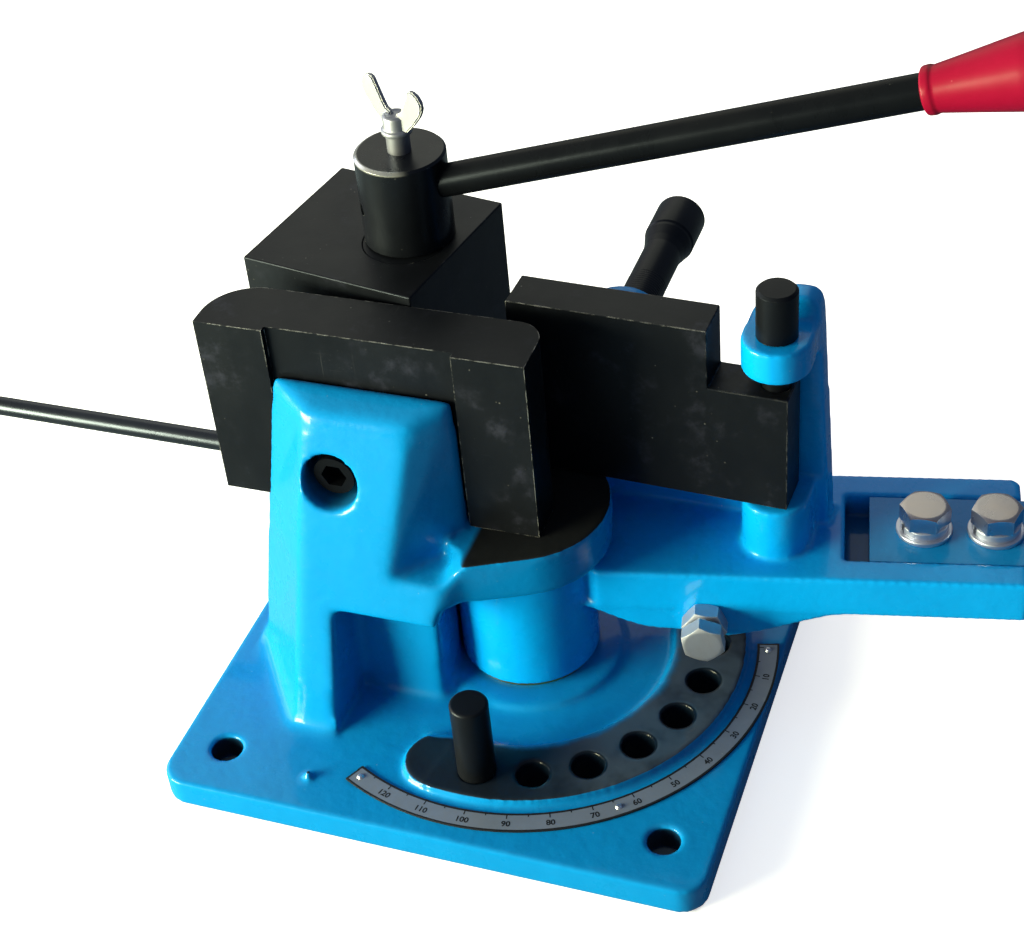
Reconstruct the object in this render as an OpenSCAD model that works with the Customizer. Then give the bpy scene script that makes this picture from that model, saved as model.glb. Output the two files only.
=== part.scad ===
// Bench bar bender: a fixed base with a front die, an eccentric clamp,
// a swinging arm with a bending die, an angle stop and a work-length stop.
// Millimetres, +X to the right, +Y to the back, +Z up.
// The origin is on the underside of the base plate, midway between the bolt holes.

/* [Base] */
// Width of the base plate, left to right
base_w = 243; // [240:1:248]
// Length of the base plate, front to back
base_l = 229; // [226:1:234]
// Thickness of the base plate
plate_t = 13.5; // [12.5:0.5:15]
// Corner radius of the base plate
corner_r = 12; // [9:1:18]
// Bolt hole distance from the left and right edges
bolt_edge_x = 22.5; // [21:0.5:24]
// Bolt hole distance from the front and back edges
bolt_edge_y = 24.5; // [23:0.5:26]
// Diameter of the four bolt holes
bolt_d = 14; // [11:0.5:15]
// Height of the table top above the bench
table_z = 100; // [99:0.5:103]
// Thickness of the table slab
table_t = 21; // [19:0.5:22]
// Radius of the table's round end about the pivot
table_r = 40; // [38:0.5:41]
// Height of the column head above the table
column_h = 65; // [62:1:67]

/* [Pivot] */
// Pivot axis, to the right of the middle of the plate
pivot_x = 10.5; // [10:0.25:11.5]
// Pivot axis, behind the middle of the plate
pivot_y = 5; // [4.5:0.25:5.5]
// Diameter of the pivot shaft
shaft_d = 28; // [25:1:30]
// Wall of the two bushes in the arm's barrel
bush_wall = 4; // [3:0.5:5]
// Outer radius of the arm's barrel
barrel_r = 31; // [30:0.5:32]

/* [Angle stop] */
// Radius of the circle of stop holes
stop_r = 82; // [80:0.5:83]
// Number of stop holes
stop_count = 7; // [5:1:7]
// Angle from one stop hole to the next
stop_step = 16.7; // [15.5:0.1:17]
// Direction of the first stop hole, where the pin stands
stop_first = -88; // [-90:0.5:-86]
// Diameter of the stop holes
stop_hole_d = 14; // [12:0.5:15]
// Diameter of the stop pin's head
stop_head_d = 16.5; // [16:0.25:18]
// Height of the stop pin's head
stop_head_h = 43; // [36:1:46]
// Thread diameter of the stop bolt
stop_bolt_d = 10; // [8:1:12]

/* [Front die] */
// Length of the front die
die_l = 144.5; // [140:0.5:148]
// Depth of the front die
die_d = 29.5; // [28:0.5:31]
// Height of the front die
die_h = 88; // [84:1:90]
// Large corner radius at the left back
die_r_large = 22; // [18:1:24]
// Small corner radius at the right back
die_r_small = 12; // [8:1:14]
// Depth of the channel that keys over the column
die_key = 3; // [2:0.25:4]
// Thread diameter of the die screw
die_screw_d = 12; // [10:1:12]

/* [Clamp] */
// Clamp shaft axis, to the left of the middle of the plate
clamp_x = -49.7; // [-51:0.1:-49]
// Clamp shaft axis, behind the middle of the plate
clamp_y = 59.6; // [59:0.1:61]
// Throw of the eccentric
throw = 5; // [3:0.25:5.5]
// Diameter of the shaft in the base
clamp_shaft_d = 26; // [22:1:26]
// Diameter of the eccentric in the block
eccentric_d = 37; // [37:0.5:40]
// Width of the clamp block
block_w = 83; // [78:0.5:84]
// Depth of the clamp block
block_d = 79; // [74:0.5:79]
// Height of the clamp block
block_h = 91.1; // [88:0.1:94]
// Turn of the clamp block on its eccentric, as photographed
block_turn = -9.5; // [-10:0.25:-6]
// Diameter of the lever hub
hub_d = 39; // [37:0.5:40]
// Height of the lever hub
hub_h = 40.5; // [39:0.5:42]
// Diameter of the clamp lever rod
clamp_rod_d = 14; // [12:0.5:14.5]
// Upward tilt of the clamp lever
clamp_tilt = 17.5; // [15:0.5:19]
// Length of the clamp lever from the hub axis
clamp_rod_l = 330; // [310:5:360]

/* [Swing arm] */
// Direction of the arm's handle part at rest
arm_angle = 11.3; // [10:0.1:12.5]
// Width of the arm's handle part
arm_w = 70; // [67:0.5:72]
// Thickness of the arm's handle part
arm_t = 20; // [19:0.5:22]
// Length of the arm casting from the pivot
arm_l = 214; // [212:0.5:218]
// Diameter of the die pin's shank
die_pin_d = 12; // [10:0.5:12.5]
// Diameter of the die pin's head
die_pin_head_d = 17; // [15.5:0.25:18]
// Thread diameter of the adjusting screw
adjust_d = 17; // [15:0.5:18]

/* [Bending die] */
// Length of the bending die
bend_l = 119.5; // [118:0.5:120.5]
// Thickness of the bending die
bend_t = 19.5; // [19:0.5:20]
// Height of the bending die
bend_h = 85; // [83:0.5:87]
// Height of the low end that holds the pin
tongue_h = 57; // [54:0.5:59]
// Length of the low end that holds the pin
tongue_l = 33.5; // [31:0.5:34.5]
// Turn of the bending die on its pin, as photographed
bend_turn = -2.2; // [-2.5:0.1:-1]

/* [Main lever] */
// Width of the flat tang
tang_w = 42; // [40:0.5:42.5]
// Thickness of the flat tang
tang_t = 11; // [10:0.5:12]
// Diameter of the round bar
bar_d = 25; // [22:0.5:28]
// Far end of the lever from the pivot
lever_end = 560; // [500:10:620]
// Diameter of the lever's grip
grip_d = 34; // [31:0.5:36]
// Thread diameter of the two lever bolts
lever_bolt_d = 12; // [10:1:12]

/* [Length stop] */
// Diameter of the stop rod
rod_d = 9; // [8:0.5:10]
// Length of the stop rod outside the table
rod_l = 222; // [210:2:260]

/* [Fits] */
// Running clearance per side between a shaft and its bore
run = 0.05; // [0.02:0.01:0.08]
// Clearance per side between a screw and its hole
fit = 0.05; // [0.02:0.01:0.08]
// Gap between faces that move past each other
gap = 0.4; // [0.35:0.05:0.5]

/* [Hidden] */
$fn = 64;
eps = 1;
blue = "#1583cf";
black = "#26272a";
zinc = "#b9bdc1";
bronze = "#a9803c";
red = "#c8102e";

bolt_x = base_w / 2 - bolt_edge_x;
bolt_y = base_l / 2 - bolt_edge_y;

// Round land with the stop holes
land_h = 3.5;
land_z = plate_t + land_h;
land_half = 16.25;
land_step = 0.25;
land_r = stop_r - 1.25;
land_from = stop_first - 12.5;
land_to = stop_first + (stop_count - 1) * stop_step + 9;

// Angle scale
scale_t = 0.8;
scale_in = stop_r + 19.5;
scale_out = scale_in + 9.7;
scale_from = -117.5;
scale_to = 14;
rivet_r = 1.6;
rivet_shank_r = 1.1;
rivet_angles = [scale_from + 2.2, (scale_from + scale_to) / 2, scale_to - 2.2];

// Pivot stack
pad_r = 42;
pad_z = plate_t + 2.5;
thrust_t = 2;
slab_z = table_z - table_t;
barrel_z = pad_z + thrust_t + gap;
barrel_top = slab_z - gap;
bush_r = shaft_d / 2 + run + bush_wall;
bush_l = 22;
shaft_flange_r = shaft_d / 2 + 6;
shaft_flange_t = 5;

// Front die and column
die_x1 = pivot_x + 17;
die_x0 = die_x1 - die_l;
die_y1 = pivot_y + 7.5;
die_y0 = die_y1 - die_d;
key_y = die_y0 + die_key;
key_x0 = -86;
key_x1 = -3.5;
screw_x = -54.5;
screw_z = table_z + 31;
screw_seat_y = key_y - 8;
screw_head_d = die_screw_d * 1.5;
column_top = table_z + column_h;
column_front_top = column_top - 4;
column_front_y = key_y - 18;
face_slope = 0.2575;
back_x_top = -85.7;
back_slope = 0.18;
col_y = die_y0 - 0.6;
shelf_z = table_z - 8;
shelf_under = table_z - 28;
shelf_x = -5;
lip_x = 2.6;
lip_y = pivot_y - 47.7;
lip_back_y = pivot_y - 31;
lip_reach = norm([lip_x - pivot_x, lip_y - pivot_y]);
lip_turn = atan2(lip_y - pivot_y, lip_x - pivot_x) + acos(table_r / lip_reach);
leg_x = -55;
foot_z = plate_t - eps;
web_x = -16;
web_y = -38;
web_lean = 4;
ped_y = 102;
slab_y = 106;
slab_x0 = -109;
slab_x1 = -8;

function face_y(z) = column_front_y - (column_front_top - z) * face_slope;
function left_front_x(z) = -65.4 - (column_front_top - z) * 0.065;
function left_back_x(z) = back_x_top - (column_top - z) * back_slope;
function right_front_x(z) = -18.7 - (column_front_top - z) * 0.152;

// Clamp stack
block_z = table_z + gap;
block_top = block_z + block_h;
block_cx = -16.5;
block_cy = -3;
clamp_bush_wall = 4;
clamp_bush_z = 58;
clamp_low_z = 50;
spigot_d = 20;
spigot_top = block_top + 22;
hub_z = block_top + gap;
hub_top = hub_z + hub_h;
lever_z = hub_z + 22.2;
hub_pin_d = 5;
hub_pin_z = spigot_top - 4.5;
hub_pin_turn = 40;
lever_in = spigot_d / 2 + 0.6;
wing_d = 10;
wing_turn = -26;
wing_low = spigot_top + gap;
clamp_grip_from = 225;
clamp_grip_r = clamp_rod_d / 2 + 2.4;

// Swing arm
arm_top = slab_z - 4;
arm_low = arm_top - arm_t;
arm_v0 = -18;
arm_v1 = arm_v0 + arm_w;
tang_v = arm_v0 + arm_w / 2;
pocket_u = 138.5;
pocket_w = tang_w + 1;
tang_top = arm_top - 1;
pocket_z = tang_top - tang_t;
bolt_u = [172, 202];
pin_x = pivot_x + 105.5;
pin_y = pivot_y + 29;
pin_inset = 7.5;
bend_front = 10.5;
bend_back = bend_t - bend_front;
bend_z = table_z + 1;
post_x = pin_x + pin_inset;
lug_r = 14.5;
lug_top = bend_z - gap;
ring_z = bend_z + 66;
ring_t = 15;
wall_y0 = pin_y + bend_back + 5;
wall_y1 = wall_y0 + 13;
wall_top = table_z + 38;
adjust_x = pivot_x + 35.5;
adjust_z = bend_z + 59;
adjust_boss_r = 19;
adjust_head_d = adjust_d + 5.5;
adjust_head_l = 22;
adjust_head_y = wall_y1 + 62;
adjust_tip_y = pin_y + bend_back / cos(bend_turn) + (adjust_x - pin_x) * tan(bend_turn) + gap
    - adjust_d / 2 * tan(bend_turn);

// Stop bolt
stop_u = 80;
stop_z = arm_low - 4.5;
stop_nut_t = 8;
stop_head_t = 7;
stop_head_v = arm_v0 - stop_nut_t - 2.2;

// Lever parts
bar_u = 262;
tang_u = pocket_u + 10.5;
bar_z = pocket_z + tang_t / 2;
grip_l = 125;
lever_washer_t = 2.5;
spring_washer_t = 3.5;
spring_split = 205;
lever_head_z = tang_top + lever_washer_t + spring_washer_t;
lever_head_t = 8;
lever_nut_t = 10;

// Length stop
rod_y = 22;
rod_z = table_z - 9.7;
rod_in = 14;
rod_nut_t = 6.5;
collar_x = -300;
collar_w = 20;
collar_h = 22;
finger_t = 6;
thumb_d = 6;

// Solid between two outlines with the same number of corners, both counter-clockwise from above
module loft(lo, hi) {
    n = len(lo);
    polyhedron(
        points = concat(lo, hi),
        faces = concat(
            [[for (i = [0:n - 1]) i]],
            [[for (i = [n - 1:-1:0]) n + i]],
            [for (i = [0:n - 1]) [i, n + i, n + (i + 1) % n]],
            [for (i = [0:n - 1]) [i, n + (i + 1) % n, (i + 1) % n]]));
}

module at_pivot() {
    translate([pivot_x, pivot_y, 0]) children();
}

// Along the arm's handle: X away from the pivot, Y to the back
module at_arm() {
    at_pivot() rotate(arm_angle) children();
}

module at_clamp() {
    translate([clamp_x, clamp_y, 0]) children();
}

// Along the clamp lever: Z away from the hub
module at_clamp_lever() {
    at_clamp() translate([0, 0, lever_z]) rotate([0, 90 - clamp_tilt, 0]) children();
}

module box(from, to) {
    translate(from) cube(to - from);
}

// Cylinder along +Y from y0 to y1
module rod_y_dir(x, z, y0, y1, d) {
    translate([x, y0, z]) rotate([-90, 0, 0]) cylinder(d = d, h = y1 - y0);
}

// Cylinder along +X from x0 to x1
module rod_x_dir(y, z, x0, x1, d) {
    translate([x0, y, z]) rotate([0, 90, 0]) cylinder(d = d, h = x1 - x0);
}

module hex(af, h) {
    cylinder(d = af / cos(30), h = h, $fn = 6);
}

module plate() {
    box([-base_w / 2 + corner_r, -base_l / 2, 0], [base_w / 2 - corner_r, base_l / 2, plate_t]);
    box([-base_w / 2, -base_l / 2 + corner_r, 0], [base_w / 2, base_l / 2 - corner_r, plate_t]);
    for (sx = [-1, 1], sy = [-1, 1])
        translate([sx * (base_w / 2 - corner_r), sy * (base_l / 2 - corner_r), 0])
            cylinder(r = corner_r, h = plate_t);
}

module stop_land() {
    at_pivot() {
        rotate(land_from) rotate_extrude(angle = land_to - land_from)
            translate([land_r - land_half, plate_t - 2]) square([2 * land_half, land_h + 2]);
        // Round ends, a hair lower than the machined top
        for (a = [land_from, land_to])
            rotate(a) translate([land_r, 0, plate_t - 3])
                cylinder(r = land_half - 0.2, h = land_h + 3 - land_step);
    }
}

module column() {
    // Leg in front of the web
    loft([[left_back_x(foot_z), col_y, foot_z], [left_front_x(foot_z), face_y(foot_z), foot_z],
            [leg_x, face_y(foot_z), foot_z], [leg_x, col_y, foot_z]],
        [[left_back_x(shelf_z), col_y, shelf_z], [left_front_x(shelf_z), face_y(shelf_z), shelf_z],
            [leg_x, face_y(shelf_z), shelf_z], [leg_x, col_y, shelf_z]]);
    // Shelf over the web
    loft([[leg_x - eps, face_y(shelf_under), shelf_under], [shelf_x - 3, face_y(shelf_under), shelf_under],
            [shelf_x, 0, shelf_under], [leg_x - eps, 0, shelf_under]],
        [[leg_x - eps, face_y(shelf_z), shelf_z], [shelf_x, face_y(shelf_z), shelf_z],
            [shelf_x, 0, shelf_z], [leg_x - eps, 0, shelf_z]]);
    // Ramp from the shelf's corner up to the lip of the table
    loft([[shelf_x - 2.2, face_y(slab_z) + 0.6, slab_z + 0.2], [lip_x - 0.2, lip_y + 0.2, slab_z + 0.2],
            [shelf_x - 2, lip_back_y + 1, slab_z + 0.2]],
        [[shelf_x - 0.3, face_y(shelf_z) + 0.5, shelf_z - 0.2], [lip_x - 0.2, lip_y + 0.2, table_z - 0.4],
            [shelf_x - 2, lip_back_y + 1, table_z - 0.4]]);
    // Hipped head behind which the front die stands
    loft([[left_back_x(shelf_z - eps), col_y, shelf_z - eps],
            [left_front_x(shelf_z - eps), face_y(shelf_z - eps), shelf_z - eps],
            [right_front_x(shelf_z), face_y(shelf_z - eps), shelf_z - eps],
            [shelf_x, col_y - 2, shelf_z - eps], [shelf_x, col_y, shelf_z - eps]],
        [[left_back_x(column_top), col_y, column_top],
            [left_front_x(column_front_top), column_front_y, column_front_top],
            [right_front_x(column_front_top), column_front_y, column_front_top],
            [shelf_x, col_y - 1, column_top - 0.5], [shelf_x, col_y, column_top]]);
    // Key in the channel of the front die
    box([key_x0 + 0.4, col_y - eps, slab_z + eps], [shelf_x, key_y, column_top]);
}

module pedestal() {
    loft([[-60, web_y, foot_z], [web_x, web_y, foot_z], [web_x, ped_y, foot_z],
            [left_back_x(foot_z), ped_y, foot_z], [left_back_x(foot_z), col_y, foot_z]],
        [[-60, web_y + web_lean, slab_z + eps], [web_x, web_y + web_lean, slab_z + eps],
            [web_x, ped_y, slab_z + eps],
            [left_back_x(slab_z), ped_y, slab_z + eps], [left_back_x(slab_z), col_y, slab_z + eps]]);
}

module table() {
    translate([0, 0, slab_z]) {
        at_pivot() cylinder(r = table_r, h = table_t);
        linear_extrude(table_t) polygon([[left_back_x(table_z), col_y], [shelf_x - 1, col_y],
            [shelf_x - 1, lip_back_y], [lip_x, lip_y],
            [pivot_x + table_r * cos(lip_turn), pivot_y + table_r * sin(lip_turn)],
            [pivot_x, pivot_y + table_r],
            [slab_x1, pivot_y + table_r], [slab_x1, slab_y], [slab_x0, slab_y], [slab_x0, 12]]);
    }
}

module base_casting() {
    color(blue) difference() {
        union() {
            plate();
            stop_land();
            at_pivot() cylinder(r = pad_r, h = pad_z);
            column();
            pedestal();
            table();
            translate([-56.8, -96.5, foot_z]) cylinder(d1 = 5, d2 = 2.6, h = 4.5);
        }
        // Room for the arm's barrel between the pad and the table
        at_pivot() translate([0, 0, pad_z]) cylinder(r = barrel_r + 1.5, h = slab_z - pad_z);
        // Pivot shaft bore with its flange recess below
        at_pivot() translate([0, 0, -eps]) cylinder(d = shaft_d, h = table_z + 2 * eps);
        at_pivot() translate([0, 0, -eps]) cylinder(r = shaft_flange_r + 0.1, h = shaft_flange_t + eps);
        // Hollow underside of the pedestal
        box([-92, web_y + 14, -eps], [-34, 92, clamp_bush_z]);
        at_clamp() translate([0, 0, clamp_bush_z - eps])
            cylinder(d = clamp_shaft_d + 2 * run + 2 * clamp_bush_wall, h = table_z - clamp_bush_z + 2 * eps);
        // Bolt holes
        for (sx = [-1, 1], sy = [-1, 1])
            translate([sx * bolt_x, sy * bolt_y, -eps]) cylinder(d = bolt_d, h = plate_t + 2 * eps);
        // Stop holes
        for (i = [0:stop_count - 1])
            at_pivot() rotate(stop_first + i * stop_step) translate([stop_r, 0, -eps])
                cylinder(d = stop_hole_d, h = land_z + 2 * eps);
        // Rivet holes of the scale
        for (a = rivet_angles)
            at_pivot() rotate(a) translate([(scale_in + scale_out) / 2, 0, plate_t - 6])
                cylinder(r = rivet_shank_r, h = 6 + eps);
        // Counterbore and bore of the die screw
        rod_y_dir(screw_x, screw_z, face_y(screw_z) - 20, screw_seat_y, screw_head_d + 7);
        rod_y_dir(screw_x, screw_z, screw_seat_y - eps, key_y + eps, die_screw_d + 2 * fit);
        // Tapped hole of the stop rod
        rod_x_dir(rod_y, rod_z, slab_x0 - eps, slab_x0 + rod_in, rod_d + 2 * fit);
    }
}

module angle_scale() {
    color(zinc) at_pivot() difference() {
        rotate(scale_from) rotate_extrude(angle = scale_to - scale_from)
            translate([scale_in, plate_t]) square([scale_out - scale_in, scale_t]);
        for (a = rivet_angles)
            rotate(a) translate([(scale_in + scale_out) / 2, 0, plate_t - eps])
                cylinder(r = rivet_shank_r, h = scale_t + 2 * eps);
    }
}

module scale_rivets() {
    color(zinc) for (a = rivet_angles)
        at_pivot() rotate(a) translate([(scale_in + scale_out) / 2, 0, 0]) {
            translate([0, 0, plate_t - 6]) cylinder(r = rivet_shank_r, h = 6 + scale_t);
            translate([0, 0, plate_t + scale_t]) cylinder(r1 = rivet_r, r2 = rivet_r * 0.6, h = 0.8);
        }
}

module front_die() {
    color(black) difference() {
        union() {
            box([die_x0, die_y0, table_z], [die_x1, die_y1 - die_r_large, table_z + die_h]);
            box([die_x0 + die_r_large, die_y0, table_z], [die_x1 - die_r_small, die_y1, table_z + die_h]);
            box([die_x0 + die_r_large, die_y0, table_z], [die_x1, die_y1 - die_r_small, table_z + die_h]);
            intersection() {
                translate([die_x0 + die_r_large, die_y1 - die_r_large, table_z])
                    cylinder(r = die_r_large, h = die_h);
                box([die_x0 - eps, die_y0, table_z], [die_x1, die_y1 + eps, table_z + die_h]);
            }
            translate([die_x1 - die_r_small, die_y1 - die_r_small, table_z])
                cylinder(r = die_r_small, h = die_h);
        }
        box([key_x0, die_y0 - eps, table_z - eps], [key_x1, key_y, table_z + die_h + eps]);
        rod_y_dir(screw_x, screw_z, key_y - eps, key_y + 20, die_screw_d + 2 * fit);
    }
}

module die_screw() {
    color(black) difference() {
        union() {
            rod_y_dir(screw_x, screw_z, screw_seat_y, key_y + 18, die_screw_d);
            rod_y_dir(screw_x, screw_z, screw_seat_y - die_screw_d, screw_seat_y, screw_head_d);
        }
        translate([screw_x, screw_seat_y - die_screw_d - eps, screw_z]) rotate([-90, 0, 0])
            hex(die_screw_d * 0.83, die_screw_d * 0.6 + eps);
    }
}

module pivot_shaft() {
    color(zinc) at_pivot() {
        cylinder(r = shaft_flange_r, h = shaft_flange_t);
        cylinder(d = shaft_d, h = table_z - 0.3);
    }
}

module thrust_washer() {
    color(bronze) at_pivot() translate([0, 0, pad_z]) difference() {
        cylinder(r = barrel_r - 2, h = thrust_t);
        translate([0, 0, -eps]) cylinder(d = shaft_d + 2 * run, h = thrust_t + 2 * eps);
    }
}

module clamp_bush() {
    color(bronze) at_clamp() translate([0, 0, clamp_bush_z]) difference() {
        cylinder(d = clamp_shaft_d + 2 * run + 2 * clamp_bush_wall, h = table_z - clamp_bush_z);
        translate([0, 0, -eps]) cylinder(d = clamp_shaft_d + 2 * run, h = table_z - clamp_bush_z + 2 * eps);
    }
}

module stop_rod() {
    color(black) rod_x_dir(rod_y, rod_z, slab_x0 - rod_l, slab_x0 + rod_in - 1, rod_d);
}

module rod_nut() {
    color(black) translate([slab_x0 - rod_nut_t, rod_y, rod_z]) rotate([0, 90, 0]) difference() {
        hex(rod_d + 5, rod_nut_t);
        translate([0, 0, -eps]) cylinder(d = rod_d + 2 * fit, h = rod_nut_t + 2 * eps);
    }
}

module arm_plate() {
    at_arm() {
        translate([0, 0, arm_low]) linear_extrude(arm_t)
            polygon([[34, arm_v0], [arm_l, arm_v0], [arm_l, arm_v1 - 3], [arm_l - 3, arm_v1],
                [46, arm_v1], [0, 30], [0, 0], [20, arm_v0 + 8], [30.5, arm_v0 + 3]]);
        // Deep belly that holds the stop bolt
        translate([0, 14, 0]) rotate([90, 0, 0]) linear_extrude(14 - arm_v0 - 0.7)
            polygon([[24, arm_low + eps], [45, arm_low - 9], [54, arm_low - 12.3], [67, arm_low - 13],
                [90, arm_low - 16], [104, arm_low - 12.5], [119, arm_low - 6.8], [134, arm_low - 1.4],
                [147, arm_low + eps]]);
    }
}

module die_carrier() {
    // Wall behind the bending die
    box([adjust_x - adjust_boss_r, wall_y0, arm_top - eps], [post_x + 6, wall_y1, wall_top]);
    box([adjust_x - adjust_boss_r, wall_y0, wall_top - eps],
        [adjust_x + adjust_boss_r, wall_y1, adjust_z]);
    rod_y_dir(adjust_x, adjust_z, wall_y0, wall_y1, 2 * adjust_boss_r);
    // Post at the right end
    translate([0, wall_y1, 0]) rotate([90, 0, 0]) linear_extrude(wall_y1 - wall_y0)
        polygon([[pin_x - 13, arm_top - eps], [post_x + 12.5, arm_top - eps], [post_x + 7, ring_z + 16],
            [post_x + 6, ring_z + 21], [post_x + 2.5, ring_z + 24], [pin_x + 2, ring_z + 24],
            [pin_x - 13, ring_z + 16]]);
    // Lugs above and below the die's low end
    for (lug = [[arm_top - eps, lug_top], [ring_z, ring_z + ring_t]]) {
        translate([pin_x, pin_y, lug[0]]) cylinder(r = lug_r, h = lug[1] - lug[0]);
        box([pin_x - lug_r, pin_y, lug[0]], [pin_x + lug_r, wall_y0 + 4, lug[1]]);
    }
}

module swing_arm() {
    color(blue) difference() {
        union() {
            at_pivot() translate([0, 0, barrel_z]) cylinder(r = barrel_r, h = barrel_top - barrel_z);
            arm_plate();
            die_carrier();
            at_arm() translate([stop_u, arm_v0, stop_z]) rotate([-90, 0, 0]) cylinder(d = 22, h = 20);
        }
        at_pivot() translate([0, 0, barrel_z - eps]) cylinder(r = bush_r, h = barrel_top);
        // Pocket for the lever's tang, open at the end
        at_arm() box([pocket_u, tang_v - pocket_w / 2, pocket_z],
            [arm_l + eps, tang_v + pocket_w / 2, arm_top + eps]);
        at_arm() for (u = bolt_u)
            translate([u, tang_v, arm_low - eps]) cylinder(d = lever_bolt_d + 1, h = arm_t);
        // Die pin: through the upper lug, blind in the lower lug
        translate([pin_x, pin_y, arm_top - 2]) cylinder(d = die_pin_d + 2 * run, h = ring_z + ring_t);
        // Adjusting screw
        rod_y_dir(adjust_x, adjust_z, wall_y0 - eps, wall_y1 + 3, adjust_d + 2 * run);
        // Stop bolt
        at_arm() rod_y_dir(stop_u, stop_z, arm_v0 - eps, arm_v0 + 21, stop_bolt_d + 2 * run);
    }
}

module arm_bushes() {
    color(bronze) for (z = [barrel_z, barrel_top - bush_l])
        at_pivot() translate([0, 0, z]) difference() {
            cylinder(r = bush_r, h = bush_l);
            translate([0, 0, -eps]) cylinder(d = shaft_d + 2 * run, h = bush_l + 2 * eps);
        }
}

module main_lever() {
    color(blue) at_arm() difference() {
        union() {
            box([tang_u, tang_v - tang_w / 2, pocket_z], [bar_u - 22, tang_v + tang_w / 2, tang_top]);
            hull() {
                box([bar_u - 23, tang_v - tang_w / 2, pocket_z], [bar_u - 22, tang_v + tang_w / 2, tang_top]);
                rod_x_dir(tang_v, bar_z, bar_u, bar_u + 1, bar_d, $fn = 32);
            }
            rod_x_dir(tang_v, bar_z, bar_u, lever_end, bar_d);
        }
        for (u = bolt_u)
            translate([u, tang_v, pocket_z - eps]) cylinder(d = lever_bolt_d + 1, h = tang_t + 2 * eps);
    }
}

module lever_grip() {
    color(red) at_arm() translate([lever_end - grip_l + 4, tang_v, bar_z]) rotate([0, 90, 0])
        rotate_extrude() polygon([[bar_d / 2, 0], [grip_d / 2 + 1, 0], [grip_d / 2 + 1, 5],
            [grip_d / 2 - 1.5, 9], [grip_d / 2, grip_l - 22], [grip_d / 2 - 2, grip_l - 6],
            [grip_d / 2 - 7, grip_l], [0, grip_l], [0, grip_l - 4], [bar_d / 2, grip_l - 4]]);
}

module lever_bolts() {
    color(zinc) at_arm() for (u = bolt_u)
        translate([u, tang_v, 0]) {
            translate([0, 0, arm_low - lever_nut_t - 2])
                cylinder(d = lever_bolt_d, h = lever_head_z - arm_low + lever_nut_t + 2);
            translate([0, 0, lever_head_z]) rotate(12) hex(lever_bolt_d * 1.58, lever_head_t);
        }
}

module lever_washers() {
    color(zinc) at_arm() for (u = bolt_u)
        translate([u, tang_v, tang_top]) difference() {
            cylinder(d = lever_bolt_d * 2, h = lever_washer_t);
            translate([0, 0, -eps]) cylinder(d = lever_bolt_d + 0.6, h = lever_washer_t + 2 * eps);
        }
}

// Split rings that keep the bolts tight
module spring_washers() {
    color(zinc) at_arm() for (u = bolt_u)
        translate([u, tang_v, tang_top + lever_washer_t]) difference() {
            cylinder(d = lever_bolt_d * 1.72, h = spring_washer_t);
            translate([0, 0, -eps]) cylinder(d = lever_bolt_d + 0.6, h = spring_washer_t + 2 * eps);
            rotate(spring_split) box([0, -1.2, -eps], [lever_bolt_d, 1.2, spring_washer_t + eps]);
        }
}

module lever_nuts() {
    color(zinc) at_arm() for (u = bolt_u)
        translate([u, tang_v, arm_low - lever_nut_t]) difference() {
            hex(lever_bolt_d * 1.58, lever_nut_t);
            translate([0, 0, -eps]) cylinder(d = lever_bolt_d + 2 * fit, h = lever_nut_t + 2 * eps);
        }
}

module stop_lock_nut() {
    color(zinc) at_arm() translate([stop_u, arm_v0 - stop_nut_t, stop_z]) rotate([-90, 0, 0]) difference() {
        hex(stop_bolt_d * 1.7, stop_nut_t);
        translate([0, 0, -eps]) cylinder(d = stop_bolt_d + 2 * run, h = stop_nut_t + 2 * eps);
    }
}

module stop_bolt() {
    color(zinc) at_arm() {
        rod_y_dir(stop_u, stop_z, stop_head_v, arm_v0 + 18, stop_bolt_d);
        translate([stop_u, stop_head_v - stop_head_t, stop_z]) rotate([-90, 0, 0])
            hex(stop_bolt_d * 1.7, stop_head_t);
    }
}

module bending_die() {
    color(black) translate([pin_x, pin_y, bend_z]) rotate(bend_turn) difference() {
        box([pin_inset - bend_l, -bend_front, 0], [pin_inset, bend_back, bend_h]);
        box([pin_inset - tongue_l, -bend_front - eps, tongue_h],
            [pin_inset + eps, bend_back + eps, bend_h + eps]);
        translate([0, 0, -eps]) cylinder(d = die_pin_d + 2 * run, h = bend_h);
    }
}

module die_pin() {
    color(black) translate([pin_x, pin_y, 0]) {
        translate([0, 0, arm_top]) cylinder(d = die_pin_d, h = ring_z + ring_t - arm_top + eps);
        translate([0, 0, ring_z + ring_t + gap]) cylinder(d = die_pin_head_d, h = 21);
        translate([0, 0, ring_z + ring_t + gap + 21])
            cylinder(d1 = die_pin_head_d, d2 = die_pin_head_d - 2.4, h = 1.2);
    }
}

module adjust_screw() {
    color(black) difference() {
        union() {
            rod_y_dir(adjust_x, adjust_z, adjust_tip_y, adjust_head_y, adjust_d);
            rod_y_dir(adjust_x, adjust_z, adjust_head_y, adjust_head_y + adjust_head_l, adjust_head_d);
        }
        translate([adjust_x, adjust_head_y + adjust_head_l + eps, adjust_z]) rotate([90, 0, 0])
            hex(adjust_d * 0.75, 9 + eps);
    }
}

module stop_pin() {
    color(black) at_pivot() rotate(stop_first) translate([stop_r, 0, 0]) {
        translate([0, 0, 2]) cylinder(d = stop_hole_d - 2 * run, h = land_z - 2 + eps);
        translate([0, 0, land_z + gap]) cylinder(d = stop_head_d, h = stop_head_h - 1.2);
        translate([0, 0, land_z + gap + stop_head_h - 1.2])
            cylinder(d1 = stop_head_d, d2 = stop_head_d - 2.4, h = 1.2);
    }
}

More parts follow.
